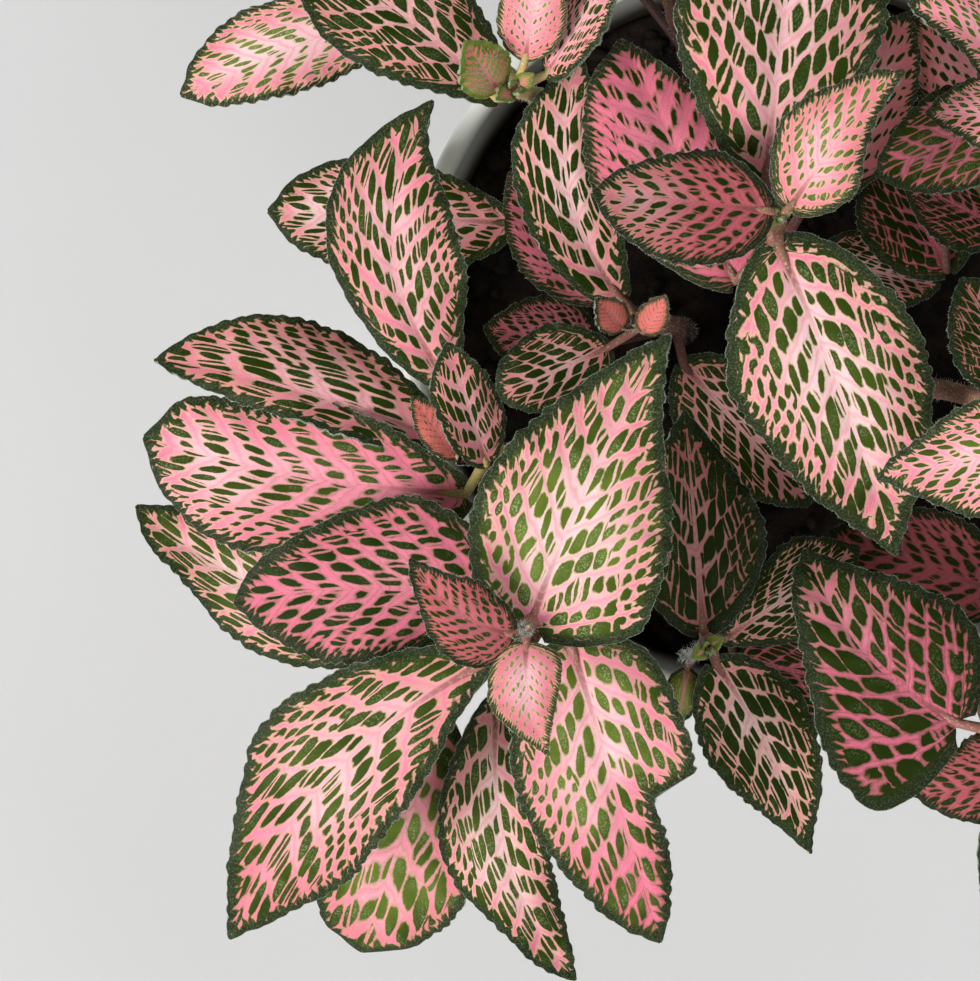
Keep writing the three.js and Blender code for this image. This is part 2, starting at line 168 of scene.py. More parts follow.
def calc(what, *values, clamp=False):
    step = put(treeOf(*values), "ShaderNodeMath", operation=what, use_clamp=clamp)
    for socket, value in zip(step.inputs, values):
        feed(socket, value)
    return step.outputs[0]


def plus(*values):
    return calc("ADD", *values)


def minus(*values, clamp=False):
    return calc("SUBTRACT", *values, clamp=clamp)


def times(*values, clamp=False):
    return calc("MULTIPLY", *values, clamp=clamp)


def scaled(value, factor, offset, clamp=False):
    return calc("MULTIPLY_ADD", value, factor, offset, clamp=clamp)


def splitXYZ(vector):
    step = put(vector.id_data, "ShaderNodeSeparateXYZ")
    feed(step.inputs[0], vector)
    return step.outputs


def splitColour(colour):
    step = put(colour.id_data, "ShaderNodeSeparateColor")
    feed(step.inputs[0], colour)
    return step.outputs


def blend(amount, first, second):
    step = put(treeOf(amount, first, second), "ShaderNodeMix", data_type="RGBA")
    for place, value in ((0, amount), (6, first), (7, second)):
        feed(step.inputs[place], value)
    return step.outputs[2]


# Colours laid over the first one, each with its share
def layered(colour, *layers):
    for share, top in layers:
        colour = blend(share, colour, top)
    return colour


def dimmed(colour, share):
    step = put(treeOf(colour, share), "ShaderNodeVectorMath", operation="SCALE")
    feed(step.inputs[0], colour)
    feed(step.inputs["Scale"], share)
    return step.outputs[0]


def ramp(value, low, high, start=0.0, end=1.0):
    step = put(value.id_data, "ShaderNodeMapRange", interpolation_type="SMOOTHSTEP")
    for place, number in enumerate((value, low, high, start, end)):
        feed(step.inputs[place], number)
    return step.outputs[0]


def noise(vector, scale, detail=2.0, rough=0.5, colour=False):
    step = put(vector.id_data, "ShaderNodeTexNoise")
    feed(step.inputs["Vector"], vector)
    step.inputs["Scale"].default_value = scale
    step.inputs["Detail"].default_value = detail
    step.inputs["Roughness"].default_value = rough
    return step.outputs["Color" if colour else "Fac"]


def objectPlace(tree):
    return put(tree, "ShaderNodeTexCoord").outputs["Object"]


def startGroup(name, inputs, outputs):
    group = bpy.data.node_groups.new(name, "ShaderNodeTree")
    for label, kind in inputs:
        group.interface.new_socket(name=label, in_out="INPUT", socket_type="NodeSocket" + kind)
    for label, kind in outputs:
        group.interface.new_socket(name=label, in_out="OUTPUT", socket_type="NodeSocket" + kind)
    return group, put(group, "NodeGroupInput").outputs, put(group, "NodeGroupOutput").inputs


def useGroup(tree, group, **values):
    step = put(tree, "ShaderNodeGroup", node_tree=group)
    for name, value in values.items():
        feed(step.inputs[name], value)
    return step.outputs


def startMaterial(name, roughness=0.5, **constants):
    material = bpy.data.materials.new(name)
    material.use_nodes = True
    tree = material.node_tree
    shader = tree.nodes["Principled BSDF"]
    shader.inputs["Roughness"].default_value = roughness
    for socketName, value in constants.items():
        socket = shader.inputs[socketName.replace("_", " ")]
        socket.default_value = value
    return material, tree, shader


def paint(shader, colour):
    feed(shader.inputs["Base Color"], colour)


def addBump(shader, height, depth, strength=1.0):
    bump = put(shader.id_data, "ShaderNodeBump")
    bump.inputs["Strength"].default_value = strength
    bump.inputs["Distance"].default_value = depth * mm
    feed(bump.inputs["Height"], height)
    feed(shader.inputs["Normal"], bump.outputs["Normal"])


def floorMaterial():
    material, tree, shader = startMaterial("paleFloor", roughness=0.8)
    grain = noise(objectPlace(tree), 40)
    paint(shader, blend(grain, room["floor"], tuple(0.98 * c for c in room["floor"])))
    return material


# The coloured net of a leaf. Vein holds the place among the side veins (x, whole numbers on them) and along
# them (y, about one cell). Edge counts widths of the dark margin in from the leaf's edge, and Midrib is
# millimetres from it. Cell sizes are half widths: the least, what a thin net adds, and what luck adds.
netSettings = {
    "bend": (0.52, 0.5, 0), "bendScale": 0.6, "wobble": (0.19, 0.2, 0), "wobbleScale": 2.4,
    "stretch": (0.35, 0.85), "fork": (3.2, 2.8), "corner": 2.6, "thinCorner": 0.7,
    "largeAcross": (0.3, 0.075, 0.14), "largeAlong": (0.36, 0.03, 0.15),
    "smallAcross": (0.28, 0.09, 0.13), "smallAlong": (0.34, 0.04, 0.12), "smallDepth": 0.6,
    "sideways": 0.16, "slant": 0.7, "cut": 0.5, "uncut": 0.66, "cutWidth": 0.08, "cutSlope": 1.1,
    "spikes": 3.1, "spikeLuck": 0.8, "spikeReach": 2.3, "spikeWidth": 0.74, "spikeStart": -0.13,
    "thinSpike": -0.055, "spikeSlope": 0.33, "crumble": 0.13, "crumbScale": 1500, "ribSlope": 0.7,
}


# A share of the given width to one side or the other
def swing(chance, width):
    return scaled(chance, width, -0.5 * width)


def wholeAndRest(value):
    whole = calc("FLOOR", value)
    return whole, minus(minus(value, whole), 0.5)


def nearestWhole(value):
    whole = calc("ROUND", value)
    return whole, calc("ABSOLUTE", minus(value, whole))


def cellHalf(thin, chance, sizes):
    least, thinner, luckier = sizes
    return scaled(chance, luckier, scaled(thin, thinner, least))


def roundedCell(x, y, halfX, halfY, thin):
    corner = scaled(thin, netSettings["thinCorner"], netSettings["corner"])
    powers = []
    for part, half in ((x, halfX), (y, halfY)):
        share = calc("DIVIDE", calc("ABSOLUTE", part), half)
        powers.append(calc("POWER", share, corner))
    oval = calc("POWER", plus(*powers), calc("DIVIDE", 1.0, corner))
    return times(minus(1.0, oval), halfX)


# Three chances from 0 to 1 for a row, cell or spike. Fixed places keep those kinds apart.
def luckOf(*places):
    tree = treeOf(*places)
    step = put(tree, "ShaderNodeTexWhiteNoise", noise_dimensions="3D")
    spot = put(tree, "ShaderNodeCombineXYZ")
    for socket, value in zip(spot.inputs, places):
        feed(socket, value)
    feed(step.inputs["Vector"], spot.outputs[0])
    return splitColour(step.outputs["Color"])


def makeLeafNet():
    tree, given, result = startGroup(
        "leafNet",
        [("Vein", "Vector")] + [(label, "Float") for label in ("Edge", "Midrib", "Along", "Thin")],
        [(label, "Float") for label in ("Green", "Rim", "Core", "Rib", "Margin", "Height", "Side", "Middle")],
    )
    s = netSettings
    vein, edge, midrib, along, thin = given[:5]
    spot = vein
    for scale, amount in ((s["bendScale"], s["bend"]), (s["wobbleScale"], s["wobble"])):
        bent = put(tree, "ShaderNodeVectorMath", operation="MULTIPLY_ADD")
        feed(bent.inputs[0], noise(vein, scale, 0.5, 0.5, colour=True))
        bent.inputs[1].default_value = amount
        feed(bent.inputs[2], spot)
        spot = bent.outputs[0]
    bentAcross, bentLength, _ = splitXYZ(spot)
    across = plus(bentAcross, -0.5 * (s["bend"][0] + s["wobble"][0]))
    row, fromMiddle = wholeAndRest(across)
    rowLuck = luckOf(row, 3.7, 0.0)
    length = scaled(bentLength, scaled(rowLuck[0], *s["stretch"]), rowLuck[1])
    cell, fromCentre = wholeAndRest(length)

    # One row of large cells beside the midrib, two rows of narrow ones where a side vein has forked. The
    # veins across a row slant a little, and some large cells are cut once more.
    forkAt = scaled(rowLuck[2], *s["fork"])
    forked = calc("GREATER_THAN", calc("FLOOR", bentLength), forkAt)
    halfRow, fromHalf = wholeAndRest(times(across, 2.0))
    luck = luckOf(row, cell, 0.0)
    halfLuck = luckOf(halfRow, cell, 9.0)
    halfX = cellHalf(thin, luck[0], s["largeAcross"])
    halfX = times(halfX, ramp(midrib, 0.8, 4.0, 0.9, 1.05))
    halfY = cellHalf(thin, luck[1], s["largeAlong"])
    moved = plus(fromMiddle, swing(halfLuck[2], s["sideways"]))
    slanted = scaled(fromMiddle, swing(luck[2], s["slant"]), fromCentre)
    large = roundedCell(moved, slanted, halfX, halfY, thin)
    fromCut = calc("ABSOLUTE", minus(slanted, swing(luck[1], s["cut"])))
    fromCut = plus(fromCut, times(calc("LESS_THAN", luck[2], s["uncut"]), 2.0))
    large = calc("MINIMUM", large, scaled(fromCut, s["cutSlope"], -s["cutWidth"]))
    smallX = cellHalf(thin, halfLuck[0], s["smallAcross"])
    smallY = cellHalf(thin, halfLuck[1], s["smallAlong"])
    small = times(roundedCell(fromHalf, slanted, smallX, smallY, thin), s["smallDepth"])
    pick = put(tree, "ShaderNodeMix", data_type="FLOAT")
    for place, value in ((0, forked), (2, large), (3, small)):
        feed(pick.inputs[place], value)
    ribWidth = times(ramp(along, 0.0, 0.95, 0.6, 0.15), ramp(along, 0.0, 0.25, 1.8, 1.0))
    ribGap = times(minus(midrib, ribWidth), s["ribSlope"])
    closing = ramp(edge, 1.2, 2.4, -0.05, 0.0)
    inner = calc("MINIMUM", plus(pick.outputs[0], closing), ribGap)

    # Near the margin the veins fray into spikes that end in the dark green.
    spike, spikeGap = nearestWhole(times(across, s["spikes"]))
    reach = scaled(luckOf(spike, 5.0, 1.0)[0], -s["spikeLuck"], edge)
    spikeHalf = scaled(ramp(reach, 0.0, s["spikeReach"]), s["spikeWidth"], s["spikeStart"])
    spikeHalf = scaled(thin, s["thinSpike"], spikeHalf)
    spikeGreen = times(minus(spikeGap, spikeHalf), s["spikeSlope"])
    both = calc("MAXIMUM", inner, spikeGreen)
    grain = noise(objectPlace(tree), s["crumbScale"], 3, 0.7)
    gap = plus(both, swing(grain, s["crumble"]))
    core = ramp(nearestWhole(across)[1], 0.0, 0.13, 1.0, 0.0)
    ribEdge = minus(midrib, times(ribWidth, 0.62))
    marks = {
        "Green": ramp(gap, -0.03, 0.05),
        "Rim": minus(ramp(gap, -0.06, -0.01), ramp(gap, 0.01, 0.05), clamp=True),
        "Core": core,
        "Rib": ramp(ribEdge, -0.25, 0.2, 1.0, 0.0),
        "Margin": ramp(edge, 0.7, 1.8, 1.0, 0.0),
        "Height": scaled(core, -0.25, ramp(gap, -0.12, 0.15)),
        "Side": ramp(gap, -0.12, -0.02),
        "Middle": ramp(gap, 0.02, 0.16),
    }
    for name, mark in marks.items():
        feed(result[name], mark)
    return tree


leafColours = {
    "pale": (0.85, 0.55, 0.58),
    "pink": (0.78, 0.16, 0.262),
    "coral": (0.58, 0.125, 0.105),
    "cream": (0.52, 0.54, 0.25),
    "green": (0.014, 0.031, 0.0008),
    "freshGreen": (0.190, 0.265, 0.035),
    "margin": (0.016, 0.025, 0.009),
    "velvetSheen": (0.30, 0.36, 0.18),
    "duskySide": (0.20, 0.085, 0.04),
    "paleSide": (0.68, 0.47, 0.31),
    "rib": (0.25, 0.095, 0.075),
    "fuzz": (0.34, 0.40, 0.32),
    "glint": (0.9, 0.68, 0.65),
    "backGreen": (0.26, 0.30, 0.10),
    "backVein": (0.42, 0.30, 0.17),
    "backMargin": (0.12, 0.17, 0.05),
    "backRib": (0.55, 0.46, 0.30),
}
leafGrain = {"broad": 90, "fine": 3600, "sheenPatch": 160, "back": 3000}
mapScale = 10.0  # edgeMap is stored this much smaller


def leafPlaces(tree):
    vein, edges, lengths = (put(tree, "ShaderNodeUVMap", uv_map=name).outputs[0]
                            for name in ("veinMap", "edgeMap", "lengthMap"))
    edge, midrib = (times(part, mapScale) for part in splitXYZ(edges)[:2])
    along, fresh = splitXYZ(lengths)[:2]
    tone = put(tree, "ShaderNodeAttribute", attribute_name="leafTone")
    pale, thin, coral = splitColour(tone.outputs["Color"])
    return vein, edge, midrib, (pale, thin, coral, tone.outputs["Alpha"], fresh), along


def makeLeafMaterials():
    net = makeLeafNet()
    c = leafColours
    material, tree, shader = startMaterial("leafUpper", roughness=0.5, Specular_IOR_Level=0.06)
    vein, edge, midrib, tones, along = leafPlaces(tree)
    pale, thin, coral, dimAndShade, freshness = tones
    marks = useGroup(tree, net, Vein=vein, Edge=edge, Midrib=midrib, Along=along, Thin=thin)
    place = objectPlace(tree)
    broad = noise(place, leafGrain["broad"])
    fine = noise(place, leafGrain["fine"], rough=0.75)

    # The veins are pale inside the leaf, cream at their rims and dusky on their sides.
    outer = ramp(edge, 1.5, 8.5, 1.0, 0.0)
    light = times(pale, minus(1.0, times(outer, 0.88)))
    light = times(light, ramp(broad, 0.25, 0.7, 0.7, 1.15), clamp=True)
    pink = layered(
        c["pink"], (coral, c["coral"]), (light, c["pale"]),
        (times(marks["Core"], 0.4), c["pink"]),
        (ramp(fine, 0.45, 0.8, 0.0, 0.12), c["glint"]),
        (times(marks["Rim"], scaled(pale, 0.42, 0.02)), c["cream"]),
        (times(marks["Rib"], ramp(along, 0.02, 0.32, 0.9, 0.12)), c["rib"]),
        (times(marks["Side"], scaled(pale, -0.22, 0.64)), blend(pale, c["duskySide"], c["paleSide"])),
    )

    # The cells between them get a painted silvery sheen in grainy patches, the margin is dark with a little
    # painted sheen.
    lit = ramp(edge, 1.5, 6.5, 0.35, 1.0)
    fresh = times(ramp(broad, 0.3, 0.7, 0.35, 1.2), times(freshness, lit))
    sheenPatch = ramp(noise(place, leafGrain["sheenPatch"]), 0.44, 0.66)
    sheenPatch = times(sheenPatch, marks["Middle"])
    velvetSheen = ramp(fine, 0.44, 0.7)
    # Painted sheen: pale grainy specks laid on the green cells where the patches fall.
    velvetSheenShare = times(velvetSheen, scaled(sheenPatch, 1.2, 0.02))
    velvetSheenShare = times(velvetSheenShare, scaled(freshness, 1.2, 0.2), clamp=True)
    tender = scaled(freshness, 0.8, -1.1, clamp=True)
    edging = layered(c["margin"], (times(velvetSheen, 0.2), c["velvetSheen"]), (tender, c["freshGreen"]))
    green = layered(c["green"], (fresh, c["freshGreen"]), (velvetSheenShare, c["velvetSheen"]),
                    (marks["Margin"], edging))

    # Painted shade: the fourth tone darkens the whole leaf, partly as its own darker colour and partly as
    # shade laid into it.
    colour = dimmed(blend(marks["Green"], pink, green), scaled(dimAndShade, -0.6, 1.0))
    fringe = ramp(edge, 0.0, 0.1, 1.0, 0.0)
    fuzzShare = times(fringe, ramp(fine, 0.35, 0.6, 0.1, 0.7))
    paint(shader, blend(fuzzShare, colour, c["fuzz"]))
    feed(shader.inputs["Roughness"], ramp(fine, 0.3, 0.8, 0.45, 0.65))
    addBump(shader, fine, 0.077, 0.85)

    under, tree, shader = startMaterial("leafUnderside", roughness=0.62, Specular_IOR_Level=0.3)
    vein, edge, midrib, _, along = leafPlaces(tree)
    marks = useGroup(tree, net, Vein=vein, Edge=edge, Midrib=midrib, Along=along, Thin=0.6)
    fine = noise(objectPlace(tree), leafGrain["back"], rough=0.7)
    paint(shader, layered(
        c["backVein"], (marks["Green"], c["backGreen"]),
        (times(marks["Margin"], 0.6), c["backMargin"]),
        (times(marks["Rib"], 0.6), c["backRib"]),
        (ramp(fine, 0.45, 0.75, 0.0, 0.3), c["velvetSheen"]),
    ))
    height = scaled(marks["Height"], -1.0, times(fine, 0.4))
    addBump(shader, height, 0.14, 0.8)
    return material, under


stemColours = {"brownStem": ((0.13, 0.065, 0.038), (0.17, 0.066, 0.053)),
               "oliveStem": ((0.20, 0.17, 0.055), (0.25, 0.19, 0.075))}
stemSpeck = (0.50, 0.42, 0.36)
hairColours = ((0.50, 0.53, 0.47), (0.80, 0.82, 0.76))
oliveShoots = ("left_shoot", "back_left_shoot")


def makeStemMaterial(name):
    material, tree, shader = startMaterial(name, roughness=0.6, Specular_IOR_Level=0.2)
    place = objectPlace(tree)
    broad = noise(place, 60)
    fine = noise(place, 2400, rough=0.7)
    colour = blend(ramp(broad, 0.35, 0.65), *stemColours[name])
    colour = blend(ramp(fine, 0.5, 0.75, 0.0, 0.35), colour, stemSpeck)
    # Painted shade and light: the stems are darkened low down among the leaves and lightened towards the
    # tips.
    shadeByHeight = ramp(splitXYZ(place)[2], 0.105, 0.152, 0.2, 1.7)
    paint(shader, dimmed(colour, shadeByHeight))
    addBump(shader, fine, 0.1, 0.7)
    return material


def makeHairMaterial():
    material, tree, shader = startMaterial("whiteHair", roughness=0.5, Specular_IOR_Level=0.4)
    tint = noise(objectPlace(tree), 500)
    paint(shader, blend(tint, *hairColours))
    return material


# Leaves and stems: the same places and sizes as the solids, in millimetres
looks = {  # how pale the net is, how thin, how coral, how much the leaf is darkened (its own darker colour and painted shade) and how fresh its green
    "young": (0.10, -1.0, 0.6, 0.44, 0.15),
    "coral": (0.74, -2.2, 0.42, 0.0, 1.5),
    "apricot": (0.62, -1.2, 0.45, 0.0, 0.65),
    "bud": (0.30, 3.0, 0.5, 0.1, 1.2),
    "sprout": (0.70, 3.5, 0.2, 0.0, 2.6),
    "olive": (0.35, 0.5, 1.0, 0.15, 2.2),
    "redBud": (0.10, -2.5, 1.0, 0.0, 0.6),
    "palest": (1.00, 0.0, 0.0, 0.0, 0.6),
    "pale": (1.00, 0.0, 0.05, 0.03, 0.2),
    "cream": (1.00, -1.2, 0.15, 0.0, 0.7),
    "light": (0.72, 0.0, 0.15, 0.0, 0.22),
    "soft": (1.00, 0.4, 0.1, 0.0, 0.25),
    "rosy": (0.72, -0.4, 0.0, 0.0, 0.5),
    "blush": (0.75, -0.15, 0.05, 0.0, 0.12),
    "warm": (0.26, -0.75, 0.0, 0.04, 0.15),
    "salmon": (0.60, 0.1, 0.3, 0.08, 0.03),
    "clear": (0.82, 0.1, 0.2, 0.0, 0.05),
    "pink": (0.20, -0.6, 0.0, 0.3, 0.0),
    "hot": (0.15, -1.6, 0.05, 0.1, 0.0),
    "berry": (0.00, -1.0, 0.55, 0.72, 0.05),
    "deep": (0.05, 1.0, 0.1, 0.48, 0.0),
    "crimson": (0.05, 0.45, 0.0, 0.48, 0.05),
    "shaded": (0.90, 0.2, 0.25, 0.08, 0.0),
    "dusky": (0.62, 0.8, 0.35, 0.22, 0.0),
    "slender": (0.95, 1.1, 0.42, 0.0, 0.0),
    "dark": (0.35, 1.5, 0.6, 0.76, 0.0),
    "broad": (0.40, -0.2, 0.25, 0.08, 0.45),
    "faded": (0.42, -1.5, 0.6, 0.3, 0.0),
    "rich": (0.12, 0.3, 0.1, 0.12, 0.25),
}
blade = {
    "thickness": 0.5, "fold": 0.14, "curl": 0.16, "wave": 1.2, "waves": 1.4, "sideVeins": 11.8, "cell": 0.122,
    "toothDepth": 0.5, "toothLength": 2.1, "unevenTeeth": (37, 83), "ripple": 0.34, "ripples": (41, 71),
    "quilt": 0.16, "groove": 0.42, "grooveWidth": 0.9, "margin": 0.86, "lobe": 0.06, "lobeLength": 0.25,
    "usualLength": 45, "usualWidth": 30, "roundBase": 0.62,
}
leafMesh = {
    "rows": 14, "rowsPerLength": 1.85, "columns": 6, "columnsPerWidth": 0.27, "start": 0.0035, "reach": 0.993,
    "crowdedEnds": 0.45, "crowdedEdge": 1.15, "netShift": 40.0, "sideShift": 17.12,
}
stem = {
    "radius": 1.75, "tipRadius": 0.95, "swelling": 0.3, "swellingLength": 0.022, "soilTop": 89, "depth": 12,
    "sides": 12, "steps": 46, "stalkRadius": 0.8, "stalkSides": 8, "stalkSteps": 12, "sag": 0.06,
    "ribSteps": 22, "ribDepth": 0.16,
}


# Below is how far under the shoot's tip a leaf's stalk leaves the stem. Left and right are half widths at
# widthPlaces. Step is the side, place and share where a torn side gets suddenly narrower.
widthPlaces = (0.1, 0.3, 0.5, 0.7, 0.9)
plainLeaf = {
    "arch": 0.05, "bow": 0, "tilt": 0, "belly": 0.42, "step": None, "left": None, "right": None,
    "veins": 1.0, "cells": 1.0, "tipPale": 0.0,
}


def leaf(start, end, wide, below, look, **shape):
    spec = {"start": np.array(start, float), "end": np.array(end, float), "wide": wide, "below": below}
    return {**plainLeaf, **spec, "look": look, **shape}


def beside(place, turn, out, up):
    return place[0] + out * math.cos(turn), place[1] + out * math.sin(turn), place[2] + up


# Pairs of leaves down a stem past the edge of the view: how far below the tip, the share of the full length,
# the slope, and how far from the outward way a leaf may point
pairSettings = (
    (1, 0.36, 30, 180, "young"), (5, 0.66, 12, 140, "rosy"), (14, 0.94, -10, 96, "light"),
    (26, 1, -28, 80, "salmon"), (37, 0.9, -34, 80, "dusky"),
)


def pairedLeaves(tip, firstTurn, size, outward):
    leaves = []
    for pair, (below, share, slope, limit, look) in enumerate(pairSettings):
        for side in (0, 180):
            turn = math.radians(firstTurn + pair * 86 + side + (7 if side else -5))
            if math.cos(turn - math.radians(outward)) < math.cos(math.radians(limit)):
                continue
            long = size * share
            rise = math.radians(slope)
            node = (tip[0], tip[1], tip[2] - below)
            start = beside(node, turn, 2 + 0.1 * long, 1)
            end = beside(node, turn, 2 + 1.1 * long * math.cos(rise), long * math.sin(rise))
            leaves.append(leaf(start, end, 0.6 * long, below, look, arch=0.09))
    return leaves


